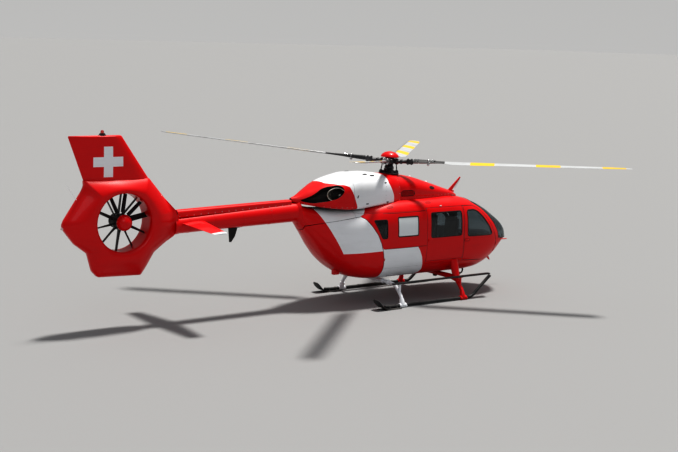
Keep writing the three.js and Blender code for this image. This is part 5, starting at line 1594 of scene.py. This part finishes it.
def frame_on(skin, x, z, lean=0.0):
    """A matrix whose z axis stands on the skin and whose x axis runs forward along it."""
    spot, up = skin_spot(skin, x, z)
    forward = unit(np.array((1.0, 0, 0)) - up * up[0])
    forward = forward * math.cos(lean) + np.cross(up, forward) * math.sin(lean)
    turned = Matrix(np.array([forward, np.cross(up, forward), up]).T.tolist())
    return Matrix.Translation(spot) @ turned.to_4x4()


def cup_and_paddle(length, height):
    """A flush handle: a dished oval cup, and the hinged paddle across it."""
    turns = all_round(28)
    oval = np.stack([np.sign(np.cos(turns)) * np.abs(np.cos(turns)) ** 0.6, np.sin(turns)], 1)
    rings = [
        np.column_stack([oval * (length / 2 + grow, height / 2 + grow), np.full(28, level)])
        for grow, level in ((0.002, -0.003), (0.004, 0.001), (0.003, 0.0026), (-0.001, 0.0026), (-0.004, -0.001),
                            (-0.011, -0.004), (-0.018, -0.0045))
    ]
    paddle = block((-length * 0.42, -height * 0.3, -0.004), (length * 0.3, height * 0.34, 0.02), 0.007)
    pivot = bar([(-length * 0.42, 0.0, 0.002), (-length * 0.36, 0.0, 0.002)], 0.005, 10)
    return lofted(rings), [paddle, pivot]


for where_on, x, z, length, height in (
    ("crew_door", 1.735, 1.352, 0.17, 0.058), ("sliding_door", 0.605, 1.425, 0.17, 0.085),
):
    cup, paddles = cup_and_paddle(length, height)
    at = frame_on(body, x, z)
    for side_name, made in SIDES:
        rides_on = f"crew_door_{side_name}" if where_on == "crew_door" else "airframe"
        add_piece(f"{where_on}_handle_cup_{side_name}", [made(placed(cup, at))], fitting_black,
                  body_name=rides_on)
        add_piece(f"{where_on}_handle_{side_name}", [made(part) for part in all_placed(paddles, at)], red_paint,
                  body_name=rides_on)


def rail_on(line, half_height, stand):
    """A low moulding that follows the cabin's side through points in (x, z)."""
    rings = []
    line = eased(line)
    for number, (x, z) in enumerate(line):
        spot, up = skin_spot(body, x, z)
        along_x, along_z = line[min(number + 1, len(line) - 1)] - line[max(number - 1, 0)]
        side = unit(np.cross(up, (along_x, 0, along_z)))
        taper = 0.35 if number in (0, len(line) - 1) else 1.0
        rings.append([
            spot + side * (half_height * across) + up * (stand * out * taper)
            for across, out in ((-1, -0.35), (-1, 0.6), (-0.8, 1), (0.8, 1), (1, 0.6), (1, -0.35))
        ])
    return lofted(rings)


rails = [
    rail_on([(-0.735, 1.318), (-0.4, 1.318), (0.0, 1.319), (0.3, 1.321), (0.495, 1.323)], 0.013, 0.007),
    rail_on([(-0.7, 1.316), (0.0, 1.3165), (0.47, 1.3205)], 0.003, 0.009),
]
add_piece("door_rails", both(rails), red_paint, crease=30)
sill = [rail_on([(0.5, 0.905), (0.9, 0.902), (1.3, 0.9), (1.63, 0.898)], 0.009, 0.012)]
add_piece("door_sill_mouldings", both(sill), red_paint, crease=30)
# Black strips along the side stand for the rails' slots: painted shade for the inside of each slot.
slots = [rail_on([(-0.73, 1.3), (-0.2, 1.3), (0.25, 1.302), (0.492, 1.305)], 0.0045, 0.0025)]
slots.append(rail_on([(-0.73, 2.1), (-0.3, 2.1), (0.2, 2.105), (0.492, 2.108)], 0.004, 0.002))
add_piece("door_rail_slots", both(slots), fitting_black)


def oval_pad(length, height, thick, sides=26):
    turns = all_round(sides)
    oval = np.stack([np.cos(turns), np.sin(turns)], 1)
    return lofted([
        np.column_stack([oval * (length / 2 * grow, height / 2 * grow), np.full(sides, level)])
        for grow, level in ((1, -0.006), (1, thick * 0.4), (0.95, thick * 0.8), (0.84, thick), (0.5, thick * 1.05))
    ])


step_cups, step_covers = [], []
for x, z in ((-0.492, 2.227), (0.638, 2.277)):
    step_cups.append(placed(cup_and_paddle(0.16, 0.05)[0], frame_on(body, x, z)))
    step_covers.append(placed(oval_pad(0.125, 0.024, 0.003), frame_on(body, x, z)))
add_piece("roof_step_cups", both(step_cups), fitting_black)
add_piece("roof_step_covers", both(step_covers), red_paint)
knuckles = []
for x, z in ((2.735, 1.02), (2.742, 1.19), (2.555, 1.75)):
    at = frame_on(body, x + 0.004, z)
    lean = QUARTER if z < 1.5 else 0.9
    for along in (-0.026, 0, 0.026):
        spine = [(math.cos(lean) * reach, math.sin(lean) * reach, 0.004) for reach in (along - 0.011, along + 0.011)]
        knuckles.append(placed(bar(spine, 0.0075), at))
for x, z in ((-0.708, 1.06), (-0.778, 1.4), (-0.973, 1.755)):
    knuckles.append(placed(bar([(0, -0.03, 0.002), (0, 0.03, 0.002)], 0.009), frame_on(body, x, z)))
add_piece("door_hinges", both(knuckles), red_paint)

# Cowling fittings: quarter-turn catches and a latch on the engine cowling, the slatted air intake in
# the red front of it, small vents, and the dark foot where each cowling sits on the roof.
latches = [placed(block((-0.032, -0.011, -0.003), (0.032, 0.011, 0.007), 0.003), frame_on(engine_skin, x, z, lean))
           for x, z, lean in ((-0.547, 2.774, 0.3), (-0.503, 2.339, 0), (-1.1, 2.33, 0), (-1.36, 2.5, 1.25))]
small_vents = [
    placed(oval_pad(0.13, 0.05, 0.012), frame_on(engine_skin, x, z)) for x, z in ((-0.98, 2.955), (-0.83, 2.93))
]
add_piece("cowling_catches", both(latches), fitting_black)
add_piece("cowling_vents", both(small_vents), fitting_black)


def plinth_wall(x):
    """The foot of the gearbox cowling at one x: from inside its lower edge down into the roof."""
    bottom, _, _, half, _, _ = gearbox_skin.section(gearbox_skin.along(x))
    y = half * 0.985 - 0.004
    roof = body.surface(body.along(x), body.angle_beside(x, y))[2]
    return [(x + MAST_X, -y, bottom + 0.022), (x + MAST_X, -y, roof - 0.012), (x + MAST_X, -y + 0.01, roof - 0.012),
            (x + MAST_X, -y + 0.01, bottom + 0.022)]


plinth = lofted([plinth_wall(x) for x in np.linspace(-0.05, 1.62, 50)])
add_piece("cowling_plinth", both([plinth]), red_paint)
INTAKE = [(-0.02, 2.425), (0.33, 2.425), (0.37, 2.46), (0.36, 2.53), (0.3, 2.565), (0.02, 2.57), (-0.03, 2.54),
          (-0.03, 2.45)]
intake_line = on_skin(gearbox_skin, INTAKE, 0.03)
intake_frame = ribbon(gearbox_skin, intake_line, [
    (0.014, 0.004), (0.012, -0.003), (-0.002, -0.004), (-0.004, 0.001), (-0.004, 0.012), (0.014, 0.012),
])
# The intake's back: a near-black sheet just over the skin behind the slats, painted shade for the dark inside of the
# opening.
intake_back = form_panel(gearbox_skin, intake_line, sink=-0.0015, depth=0.004, rim=0.0008)[:2]
add_piece("intake_frame", both([intake_frame]), red_paint)
add_piece("intake_back", both([intake_back]), soot_and_shade)
slat_shape = master_shape("slat", block((-0.0035, -0.055, -0.001), (0.0035, 0.055, 0.0065), 0.0015))
slat_spots, slat_facings = [], []
for x in np.arange(0.0, 0.35, 0.0185):
    spot, up = skin_spot(gearbox_skin, x, 2.495)
    for side in (1, -1):
        slat_spots.append(spot * (1, side, 1))
        slat_facings.append(up * (1, side, 1))
repeated("intake_slats", slat_spots, slat_facings, slat_shape, red_paint)

# On the roof: the upper wire cutter, two flat black oval pads for the cowling's ports, whose black is
# painted shade for the openings, two small white aerial domes and the lamps above the doors. On the
# nose: the lower cutter and the pitot tube. All are bolted on.


def fin_blade(outline, half_thick):
    """A flat blade on the middle plane, from its side-view outline, with a bevelled edge."""
    line, bevel = rounded(outline, 0.01), 0.003
    inner = drawn_in(line, bevel)
    rings = [np.column_stack([flat[:, 0], np.full(len(flat), depth), flat[:, 1]]) for flat, depth in (
        (inner, -half_thick), (line, -half_thick + bevel), (line, half_thick - bevel), (inner, half_thick),
    )]
    return lofted(rings)


def dome(radius, height, sides=28):
    steps = np.linspace(0, math.pi / 2 - 0.05, 8)
    return lathe([(radius * 1.12, -0.01), (radius * 1.12, 0.004)] + [
        (radius * math.cos(t), 0.004 + height * math.sin(t)) for t in steps], sides)


cutter = [
    fin_blade([(1.8, 2.415), (1.94, 2.39), (1.955, 2.43), (2.215, 2.725), (2.195, 2.745), (1.865, 2.47)], 0.012),
    block((1.76, -0.03, 2.385), (2.0, 0.03, 2.425), 0.006),
    fin_blade([(3.085, 0.79), (3.2, 0.83), (3.205, 0.78), (3.3, 0.63), (3.285, 0.615), (3.13, 0.74)], 0.012),
]
add_piece("wire_cutters", at_mast(cutter), red_paint)
blades = [fin_blade([(2.03, 2.48), (2.045, 2.47), (2.2, 2.675), (2.188, 2.685)], 0.004),
          fin_blade([(3.208, 0.78), (3.216, 0.788), (3.286, 0.672), (3.278, 0.664)], 0.004)]
add_piece("cutter_edges", at_mast(blades), bare_alloy)
pitot = bar(eased([(3.44, 0, 1.135), (3.52, 0, 1.125), (3.6, 0, 1.117), (3.78, 0, 1.113), (3.862, 0, 1.112)], 5),
            np.interp(np.linspace(0, 1, 21), (0, 0.3, 0.5, 0.97, 1), (0.03, 0.02, 0.0125, 0.0085, 0.004)), 18)
add_piece("pitot_tube", at_mast([pitot]), red_paint)
lamp_glass = glazing("lamp_glass", (0.95, 0.96, 0.97), 0.05, 0.08, 0.55)
white_dome = finish("dome_white", (0.8, 0.81, 0.82), 0.35, dirt=0.2, dirt_colour=(0.4, 0.4, 0.4), coat=0.3)
domes = []
for x, radius in ((0.62, 0.028), (1.12, 0.034)):
    top = gearbox_skin.section(gearbox_skin.along(x))[2]
    domes.append(placed(dome(radius, radius * 0.9), Matrix.Translation((x + MAST_X, 0, top - 0.004))))
add_piece("aerial_domes", domes, white_dome)
# A thin black pad on each side stands for a port: painted shade for its opening.
port = placed(oval_pad(0.17, 0.085, 0.004), frame_on(gearbox_skin, 0.93, 2.585))
add_piece("cowl_ports", both([port]), fitting_black)
lamps = [placed(oval_pad(0.07, 0.03, 0.012), frame_on(body, 0.961, 2.19))]
add_piece("door_lamps", both(lamps), lamp_glass)

# Under the belly: a round landing lamp, the cargo hook's curved arm with its eye, and a small box
# behind. The first two are black-painted castings; the lamp looks down through a clear lens.
under = [
    placed(lathe([(0.035, -0.13), (0.05, -0.128), (0.054, -0.11), (0.054, -0.035), (0.045, -0.02), (0.04, 0.01)], 30),
           Matrix.Translation((1.53, 0.0, 0.5))),
    bar(eased([(2.36, 0, 0.56), (2.4, 0, 0.49), (2.41, 0, 0.43), (2.38, 0, 0.375), (2.32, 0, 0.36)]),
        np.linspace(0.024, 0.015, 25), 14, up=(0, 1, 0)),
    lathe([(0.03, -0.012), (0.036, -0.01), (0.036, 0.01), (0.03, 0.012)], 24, (2.31, 0, 0.36), "Y"),
]
add_piece("belly_fittings", at_mast(under), fitting_black)
belly_lens = placed(lathe([(0.008, -0.139), (0.03, -0.137), (0.047, -0.131), (0.045, -0.1285)], 30),
                    Matrix.Translation((1.53, 0.0, 0.5)))
add_piece("belly_lamp_lens", at_mast([belly_lens]), lamp_glass)
rear_box = block((-1.6, -0.13, 0.672), (-1.45, -0.03, 0.8), 0.012)
add_piece("belly_box", at_mast([rear_box]), red_paint, body_name="rear_door_right")

# On the tail: the anti-collision beacon on its black foot, tail and side lamps, a whip aerial, and a
# blade aerial under the boom. Lenses are moulded; the foot and the aerials are painted.
beacon_foot = lathe([(0.075, -0.02), (0.078, 0.0), (0.07, 0.012), (0.058, 0.02), (0.05, 0.045)], 32)
beacon_foot = placed(beacon_foot, Matrix.Translation((-7.29, 0, 3.948)) @ Matrix.Diagonal((1.15, 0.55, 1, 1)))
add_piece("beacon_foot", at_mast([beacon_foot]), fitting_black)
beacon_glass = glazing("beacon_glass", (0.75, 0.08, 0.06), 0.04, 0.05, 0.75)
lens = lathe([(0.034, 0.0), (0.035, 0.03), (0.031, 0.052), (0.022, 0.064), (0.008, 0.069)], 28, (-7.29, 0, 3.985))
add_piece("beacon_lens", at_mast([lens]), beacon_glass)
tail_lamp = placed(lathe([(0.026, -0.01), (0.028, 0.0), (0.026, 0.022), (0.016, 0.036), (0.004, 0.041)], 24,
                         axis="X"), Matrix.Translation((-8.14, 0, 2.135)) @ Matrix.Rotation(HALF_TURN, 4, "Z"))
side_lamp = placed(dome(0.016, 0.014, 18),
                   Matrix.Translation((-7.79, -0.075, 2.68)) @ Matrix.Rotation(QUARTER, 4, "X"))
add_piece("tail_lamps", at_mast([tail_lamp, *both([side_lamp])]), lamp_glass)
whip = bar([(-7.8, 0, 2.66), (-7.845, 0, 2.69), (-7.86, 0, 2.71), (-8.06, 0, 3.0)], (0.016, 0.013, 0.0045, 0.003),
           up=(0, 1, 0))
add_piece("whip_aerial", at_mast([whip]), white_dome)
boom_aerial = [
    fin_blade([(-4.34, 1.93), (-4.1, 1.93), (-4.17, 1.72), (-4.26, 1.6), (-4.31, 1.6)], 0.009),
    block((-4.37, -0.035, 1.905), (-4.07, 0.035, 1.925), 0.006),
]
add_piece("boom_aerial", at_mast(boom_aerial), fitting_black)

# Fasteners: dome-headed rivets at the boom's frames and along its side laps, quarter-turn studs along
# the covers and cowlings, and hexagon bolts at the gear clamps. All are turned steel, most painted over.
stud_shape = master_shape("stud", lathe([(0.0062, -0.001), (0.0066, 0.0006), (0.0056, 0.0014), (0.0028, 0.0015)], 10))
rivet_shape = master_shape("rivet",
                           lathe([(0.0042, -0.0006), (0.004, 0.0006), (0.0028, 0.0014), (0.0012, 0.0018)], 8))
bolt_shape = master_shape("bolt",
                          lathe([(0.0095, -0.001), (0.0098, 0.0012), (0.0088, 0.0014), (0.0066, 0.0014),
                                 (0.0066, 0.0062), (0.0058, 0.0072), (0.002, 0.0074)], 6))


def along_skin(skin, line, gap):
    """Points set out evenly along a line in (x, z) on the starboard side, each with its facing."""
    line = np.array(line, float)
    lengths = np.concatenate([[0], np.cumsum(np.linalg.norm(np.diff(line, axis=0), axis=1))])
    found = []
    for reach in np.linspace(0, lengths[-1], max(2, int(lengths[-1] / gap) + 1)):
        x, z = np.interp(reach, lengths, line[:, 0]), np.interp(reach, lengths, line[:, 1])
        found.append(skin_spot(skin, x, z))
    return found


def on_both_sides(found):
    spots = [spot * (1, side, 1) for spot, _ in found for side in (1, -1)]
    return spots, [up * (1, side, 1) for _, up in found for side in (1, -1)]


rivets = [spot_round(boom_skin, x + shift, turn, BAND_HEIGHT) for x in FRAMES for shift in (-0.013, 0.013)
          for turn in np.linspace(0.06 - QUARTER, QUARTER - 0.06, 24)]
rivets += [spot_round(boom_skin, x, turn) for turn in (-0.9, 0.0) for x in np.arange(-5.55, -2.7, 0.045)]
spots, facings = on_both_sides(rivets)
repeated("boom_rivets", spots, facings, rivet_shape, red_paint)
studs = [spot_round(cover_skin, x, -0.42) for x in np.arange(-5.58, -2.8, 0.17)]
for skin, gap, line in (
    (gearbox_skin, 0.12, [(0.02, 2.41), (0.5, 2.408), (1.0, 2.406), (1.5, 2.4)]),
    (engine_skin, 0.1, [(-0.5, 2.32), (-0.9, 2.275), (-1.3, 2.25)]),
    (engine_skin, 0.09, [(-0.52, 2.88), (-0.56, 2.6), (-0.56, 2.4)]),
    (engine_skin, 0.12, [(-1.5, 2.26), (-1.9, 2.27), (-2.3, 2.31), (-2.5, 2.35)]),
    (engine_skin, 0.11, [(-0.09, 2.36), (-0.09, 2.6), (-0.09, 2.8)]),
):
    studs += along_skin(skin, line, gap)
spots, facings = on_both_sides(studs)
repeated("cowling_studs", spots, facings, stud_shape, bare_alloy, 1.4)
gear_bolts = [(x + way * EAR_REACH, -SKID_Y + across, SKID_Z + 0.0125, 1)
              for x in (FRONT_GEAR, REAR_GEAR) for way in (-1, 1) for across in (-0.066, 0.066)]
gear_bolts += [(x + reach, -STEP_Y + across, 0.5, -1)
               for x in (FRONT_GEAR, REAR_GEAR) for reach in (-0.036, 0.036) for across in (-0.02, 0.02)]
gear_bolts += [(x, -SKID_Y + across, 0.0295, 1) for x in PAD_CLIPS for across in (-0.05, 0.05)]
spots, facings = on_both_sides([(np.array((x + MAST_X, y, z)), np.array((0, 0, up))) for x, y, z, up in gear_bolts])
repeated("gear_bolts", spots, facings, bolt_shape, bare_alloy)

# Cabin floor: honeycomb board with a ribbed rubber mat, and the four extruded tracks that the seats
# lock into. The engines and the gearbox above the roof are plain castings that the cowlings hide.
floor_mat = finish("cabin_mat", (0.06, 0.062, 0.066), 0.7, dirt=0.5, dirt_colour=(0.16, 0.15, 0.13), grain=420.0,
                   bump=0.002)
casting = finish("machinery_casting", (0.3, 0.3, 0.31), 0.55, dirt=0.6, dirt_colour=(0.05, 0.045, 0.04), grain=140.0,
                 bump=0.002, metallic=0.7)
for node, material in (("cabin_floor", floor_mat), ("engines_and_gearbox", casting)):
    carried = bpy.data.objects[node]
    carried.data.materials.clear()
    carried.data.materials.append(material)
FLOOR_TOP = 0.845
tracks = []
for y in (-0.56, -0.22, 0.22, 0.56):
    tracks.append(block((-1.2, y - 0.017, FLOOR_TOP - 0.004),
                        (2.3 if abs(y) < 0.3 else 2.2, y + 0.017, FLOOR_TOP + 0.0035), 0.002))
add_piece("seat_tracks", at_mast(tracks), bare_alloy)

# Seats: two high-backed crew seats and a bench for three. Foam cushions in woven covers, sewn in
# channels and welted, lie in pressed shells on alloy legs that run in the floor tracks.
CUSHION_VOXEL, CLOTH_FRAMES = 0.0125, 20
WELT_RADIUS = 0.0042
SLACK_SHARE, CORNER_SHARE = 0.45, 0.28  # of the most that a cushion swells, and of its thin way
weave, given, result = surface_group("woven_cloth", ["Colour", "Thread Size", "Wear"], ["Colour", "Height"])
place = add_node(weave, "ShaderNodeTexCoord")
patches = add_node(weave, "ShaderNodeTexNoise", {"Scale": 9.0, "Detail": 5.0})
threads = [add_node(weave, "ShaderNodeTexWave", {"Distortion": 0.6, "Detail": 1.0}, bands_direction=way)
           for way in "XYZ"]
for thread in threads:
    connect(weave, (place, "Object", thread, "Vector"), (given, "Thread Size", thread, "Scale"))
first_two = add_node(weave, "ShaderNodeMath", operation="MULTIPLY")
all_three = add_node(weave, "ShaderNodeMath", operation="ADD")
faded = add_node(weave, "ShaderNodeMath", operation="MULTIPLY")
worn = add_node(weave, "ShaderNodeMix", {"B": (0.2, 0.2, 0.21, 1)}, data_type="RGBA")
connect(weave, (threads[0], "Fac", first_two, 0), (threads[1], "Fac", first_two, 1),
        (first_two, "Value", all_three, 0), (threads[2], "Fac", all_three, 1), (place, "Object", patches, "Vector"),
        (patches, "Fac", faded, 0), (given, "Wear", faded, 1), (faded, "Value", worn, "Factor"),
        (given, "Colour", worn, "A"), (worn, "Result", result, "Colour"), (all_three, "Value", result, "Height"))


def cloth_finish(name, colour, roughness, thread_size, wear, bump):
    return coated(name, weave, {"Colour": (*colour, 1), "Thread Size": thread_size, "Wear": wear}, (0.6, bump),
                  {"Roughness": roughness})


seat_cloth = cloth_finish("seat_fabric", (0.035, 0.038, 0.045), 0.85, 240.0, 0.35, 0.0006)
webbing = cloth_finish("harness_webbing", (0.3, 0.012, 0.012), 0.7, 420.0, 0.2, 0.0004)
welt_leather = finish("seat_welt", (0.02, 0.02, 0.022), 0.5, dirt=0.2, grain=500.0)
seat_shell = finish("seat_shell", (0.12, 0.125, 0.13), 0.5, dirt=0.3)


def applied(holder):
    """The object's mesh with its modifiers applied and taken off."""
    made = bpy.data.meshes.new_from_object(holder.evaluated_get(bpy.context.evaluated_depsgraph_get()))
    holder.modifiers.clear()
    holder.data = made
    return made


def stuffed(name, low, high, cap, channels):
    """A foam cushion in a sewn cover, blown up by cloth pressure inside its box.
    Channels are (axis, place, half width, depth): sewn lines drawn in towards the middle."""
    low, high = np.array(low), np.array(high)
    slack = cap * SLACK_SHARE
    form = block(low + slack, high - slack, min(high - low) * CORNER_SHARE)
    holder = bpy.data.objects.new(name, mesh_of(name, form))
    bpy.context.scene.collection.objects.link(holder)
    remesh = holder.modifiers.new("remesh", "REMESH")
    remesh.mode, remesh.voxel_size = "VOXEL", CUSHION_VOXEL
    mesh = applied(holder)
    start = np.array([v.co[:] for v in mesh.vertices])
    cloth = holder.modifiers.new("cloth", "CLOTH")
    feel = cloth.settings
    feel.quality, feel.use_pressure, feel.uniform_pressure_force = 4, True, 4.0
    feel.tension_stiffness = feel.compression_stiffness = 18.0
    feel.bending_stiffness, feel.effector_weights.gravity = 0.6, 0.0
    cloth.point_cache.frame_start, cloth.point_cache.frame_end = 1, CLOTH_FRAMES
    for frame_number in range(1, CLOTH_FRAMES + 1):
        bpy.context.scene.frame_set(frame_number)
    mesh = applied(holder)
    bpy.context.scene.frame_set(1)
    shift = np.array([v.co[:] for v in mesh.vertices]) - start
    length = np.maximum(np.linalg.norm(shift, axis=1, keepdims=True), 1e-9)
    moved = start + shift * np.minimum(1, cap / length)
    middle, thin = (low + high) / 2, int(np.argmin(high - low))
    for axis, spot, half_width, depth in channels:
        near = np.exp(-((moved[:, axis] - spot) / half_width) ** 2)
        moved[:, thin] -= np.sign(moved[:, thin] - middle[thin]) * near * depth
    moved = np.clip(moved, low, high)
    mesh.vertices.foreach_set("co", moved.ravel())
    smooth = holder.modifiers.new("subdivide", "SUBSURF")
    smooth.levels = smooth.render_levels = 1
    mesh = applied(holder)
    mesh.materials.append(seat_cloth)
    mesh.polygons.foreach_set("use_smooth", [True] * len(mesh.polygons))
    return holder


def loop_tube(line, radius, sides=8):
    """A closed tube round a closed line."""
    line = np.array(line)
    ways = unit(np.roll(line, -1, axis=0) - np.roll(line, 1, axis=0))
    out = line - line.mean(axis=0)
    out = unit(out - ways * np.sum(out * ways, axis=1, keepdims=True))
    return lofted([
        [spot + radius * (o * math.cos(turn) + s * math.sin(turn)) for turn in all_round(sides)]
        for spot, o, s in zip(line, out, np.cross(ways, out))
    ], True)


def welt_round(holder, thin, level, count=120):
    """The welt sewn round a cushion: a cord that follows its edge at a level across its thin way."""
    wide = [axis for axis in range(3) if axis != thin]
    points = np.array([v.co[:] for v in holder.data.vertices])
    middle = (points.min(axis=0) + points.max(axis=0)) / 2
    line = []
    for turn in all_round(count):
        way = np.zeros(3)
        way[wide[0]], way[wide[1]] = math.cos(turn), math.sin(turn)
        far = middle.copy()
        far[thin] = level
        hit, spot, _, _ = holder.ray_cast(Vector(far + way * 2), Vector(-way))
        if hit:
            line.append(np.array(spot) + way * WELT_RADIUS * 0.3)
    return loop_tube(line, WELT_RADIUS)


def copied_to_port(holder, name):
    """The other side's cushion, with its place in its own mesh."""
    twin = bpy.data.objects.new(name, holder.data.copy())
    bpy.context.scene.collection.objects.link(twin)
    twin.data.transform(Matrix.Diagonal((1, -1, 1, 1)))
    twin.data.flip_normals()
    return twin


def strap(line, y=0.0):
    """Flat webbing along points in (x, z)."""
    return plate(eased(line), 0.022, 0.0014, y)


SEAT_X, SEAT_Y = 1.95 + MAST_X, -0.39
seat_at = Matrix.Translation((SEAT_X, SEAT_Y, 0))


def add_cushion(piece, stands_for):
    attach(piece, "airframe")
    if stands_for:
        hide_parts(stands_for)


soft = [
    # name, low corner, high corner, cap, channels
    ("crew_cushion", (-0.225, -0.23, 1.128), (0.258, 0.23, 1.229), 0.024,
     [(1, SEAT_Y - 0.13, 0.012, 0.009), (1, SEAT_Y + 0.13, 0.012, 0.009), (0, SEAT_X + 0.1, 0.012, 0.007)]),
    ("crew_back", (-0.322, -0.22, 1.19), (-0.214, 0.22, 1.845), 0.024,
     [(1, SEAT_Y - 0.13, 0.012, 0.01), (1, SEAT_Y + 0.13, 0.012, 0.01), (2, 1.36, 0.012, 0.008),
      (2, 1.6, 0.012, 0.008)]),
    ("crew_headrest", (-0.322, -0.127, 1.862), (-0.228, 0.127, 2.028), 0.018, []),
]
crew_welts = []
for name, low, high, cap, channels in soft:
    corner = np.array((SEAT_X, SEAT_Y, 0))
    cushion = stuffed(f"{name}_right", corner + low, corner + high, cap, channels)
    twin = copied_to_port(cushion, f"{name}_left")
    thin = 2 if name == "crew_cushion" else 0
    level = high[thin] - 0.026 if thin == 2 else low[0] + SEAT_X + 0.07
    crew_welts.append(welt_round(cushion, thin, level))
    for piece, side_name in ((cushion, "right"), (twin, "left")):
        add_cushion(piece, f"pilot_seat_{side_name}" if name == "crew_cushion" else ())
add_piece("crew_seat_welts", both(crew_welts), welt_leather)


def leg(foot, knee, top, y, radius):
    """A bent seat leg; its foot, knee and top are distances along the cabin."""
    return bar(eased([(foot, y, 0.875), (knee, y, 0.99), (top, y, 1.1)], 4), radius, 14, up=(1, 0, 0))


legs = []
for y in (-0.14, 0.14):
    legs += [leg(-0.19, -0.15, -0.1, y, 0.016), leg(0.14, 0.11, 0.09, y, 0.016)]
    legs.append(block((-0.215, y - 0.02, 0.849), (0.165, y + 0.02, 0.88), 0.006))
legs += [bar([(x, -0.14, z), (x, 0.14, z)], 0.011) for x, z in ((-0.17, 0.93), (0.12, 0.97))]
pan_line = [(0.262, 1.118), (0.24, 1.106), (0.1, 1.104), (-0.15, 1.106), (-0.24, 1.116)]
back_line = [(-0.25, 1.118), (-0.3, 1.13), (-0.331, 1.18), (-0.333, 1.5), (-0.334, 1.8), (-0.331, 1.86)]
shells = [
    plate(eased(pan_line, 5), 0.232, 0.006),
    plate(eased(back_line, 5), np.interp(np.arange(26), (0, 10, 22, 25), (0.2, 0.226, 0.2, 0.15)), 0.006),
    *[bar([(-0.3, y, 1.8), (-0.295, y, 1.95)], 0.007, up=(1, 0, 0)) for y in (-0.06, 0.06)],
]
add_piece("crew_seat_legs", both(all_placed(legs, seat_at)), bare_alloy)
add_piece("crew_seat_shells", both(all_placed(shells, seat_at)), seat_shell)
SHOULDER = [(-0.33, 1.862), (-0.27, 1.857), (-0.216, 1.83), (-0.209, 1.6), (-0.208, 1.4), (-0.2, 1.27),
            (-0.08, 1.238), (-0.02, 1.236)]
LAP = [(-0.232, 1.13), (-0.236, 1.2), (-0.18, 1.238), (0, 1.241), (0.18, 1.238), (0.236, 1.2), (0.232, 1.13)]
belts = [strap(SHOULDER, y) for y in (-0.075, 0.075)]
belts.append(placed(strap(LAP), Matrix.Translation((-0.05, 0, 0)) @ Matrix.Rotation(QUARTER, 4, "Z")))
buckle = lathe([(0.02, 0), (0.03, 0.001), (0.032, 0.006), (0.03, 0.013), (0.02, 0.016), (0.006, 0.0165)], 28,
               (-0.05, 0, 1.242))
add_piece("crew_harness", both(all_placed(belts, seat_at)), webbing)
add_piece("harness_buckles", both([placed(buckle, seat_at)]), bare_alloy)

bench = [
    ("bench_cushion", (0.475, -0.615, 1.128), (0.957, 0.615, 1.229), 0.026, 2,
     [(1, -0.205, 0.014, 0.016), (1, 0.205, 0.014, 0.016), (0, 0.8 + MAST_X, 0.012, 0.007)]),
    ("bench_back", (0.402, -0.615, 1.19), (0.498, 0.615, 1.845), 0.022, 0,
     [(1, -0.205, 0.014, 0.014), (1, 0.205, 0.014, 0.014), (2, 1.38, 0.012, 0.007), (2, 1.62, 0.012, 0.007)]),
]
bench_welts = []
for name, low, high, cap, thin, channels in bench:
    shifted = np.array((MAST_X, 0, 0))
    cushion = stuffed(name, shifted + low, shifted + high, cap, channels)
    level = high[2] - 0.026 if thin == 2 else low[0] + MAST_X + 0.065
    bench_welts.append(welt_round(cushion, thin, level, count=200))
    add_cushion(cushion, "cabin_bench" if name == "bench_cushion" else ())
add_piece("bench_welts", bench_welts, welt_leather)
bench_frame = []
for y in (-0.5, -0.17, 0.17, 0.5):
    bench_frame += [leg(0.54, 0.56, 0.58, y, 0.015), leg(0.8, 0.79, 0.77, y, 0.015)]
    bench_frame.append(block((0.52, y - 0.018, 0.849), (0.82, y + 0.018, 0.878), 0.006))
bench_frame += [bar([(x, -0.56, 1.095), (x, 0.56, 1.095)], 0.014, 14) for x in (0.57, 0.78)]
tray = plate([(0.965, 1.122), (0.95, 1.112), (0.7, 1.11), (0.48, 1.112), (0.42, 1.12)], 0.6, 0.006)
panel_back = plate([(0.42, 1.13), (0.396, 1.18), (0.394, 1.5), (0.394, 1.85)], 0.6, 0.005)
add_piece("bench_frame", at_mast(bench_frame), bare_alloy)
add_piece("bench_shell", at_mast((tray, panel_back)), seat_shell)

# Instrument panel: a vinyl-covered hood over a pressed-metal console, with three blank displays in
# moulded bezels facing the crew, and a row of turned knobs below each.
console_black = finish("console_black", (0.03, 0.031, 0.034), 0.55, dirt=0.25, grain=420.0, bump=0.0012)
screen_black = finish("screen_black", (0.006, 0.008, 0.012), 0.12, dirt=0.02, bump=0.0, coat=0.8)
CONSOLE = [(2.575, 1.262), (2.88, 1.288), (2.88, 1.03), (2.7, 0.848), (2.6, 0.848), (2.582, 1.0)]
console_line = rounded(CONSOLE, 0.02)
console_rings = []
for y, shrink in ((-0.395, 0.012), (-0.39, 0.003), (-0.38, 0.0), (0.38, 0.0), (0.39, 0.003), (0.395, 0.012)):
    flat = drawn_in(console_line, shrink)
    console_rings.append(np.column_stack([flat[:, 0] + MAST_X, np.full(len(flat), y), flat[:, 1]]))
hood_line = [(2.552, 1.247), (2.556, 1.268), (2.6, 1.283), (2.75, 1.293), (2.88, 1.298)]
hood = plate(eased(hood_line, 5), 0.4, 0.007)
add_piece("console_body", [lofted(console_rings)], console_black, ["instrument_panel"])
add_piece("console_hood", at_mast([hood]), console_black)
bezels, screens, knobs = [], [], []
for y in (-0.25, 0.0, 0.25):
    bezels.append(block((2.568, y - 0.112, 1.06), (2.584, y + 0.112, 1.235), 0.005))
    screens.append(block((2.565, y - 0.094, 1.078), (2.572, y + 0.094, 1.222), 0.0015))
    for across in (-0.09, -0.045, 0.0, 0.045, 0.09):
        knobs.append(lathe([(0.011, 0.0), (0.011, -0.012), (0.009, -0.016), (0.002, -0.017)], 14,
                           (2.58, y + across, 1.03), "X"))
add_piece("display_bezels", at_mast(bezels), fitting_black)
add_piece("display_screens", at_mast(screens), screen_black)
add_piece("console_knobs", at_mast(knobs), bare_alloy)
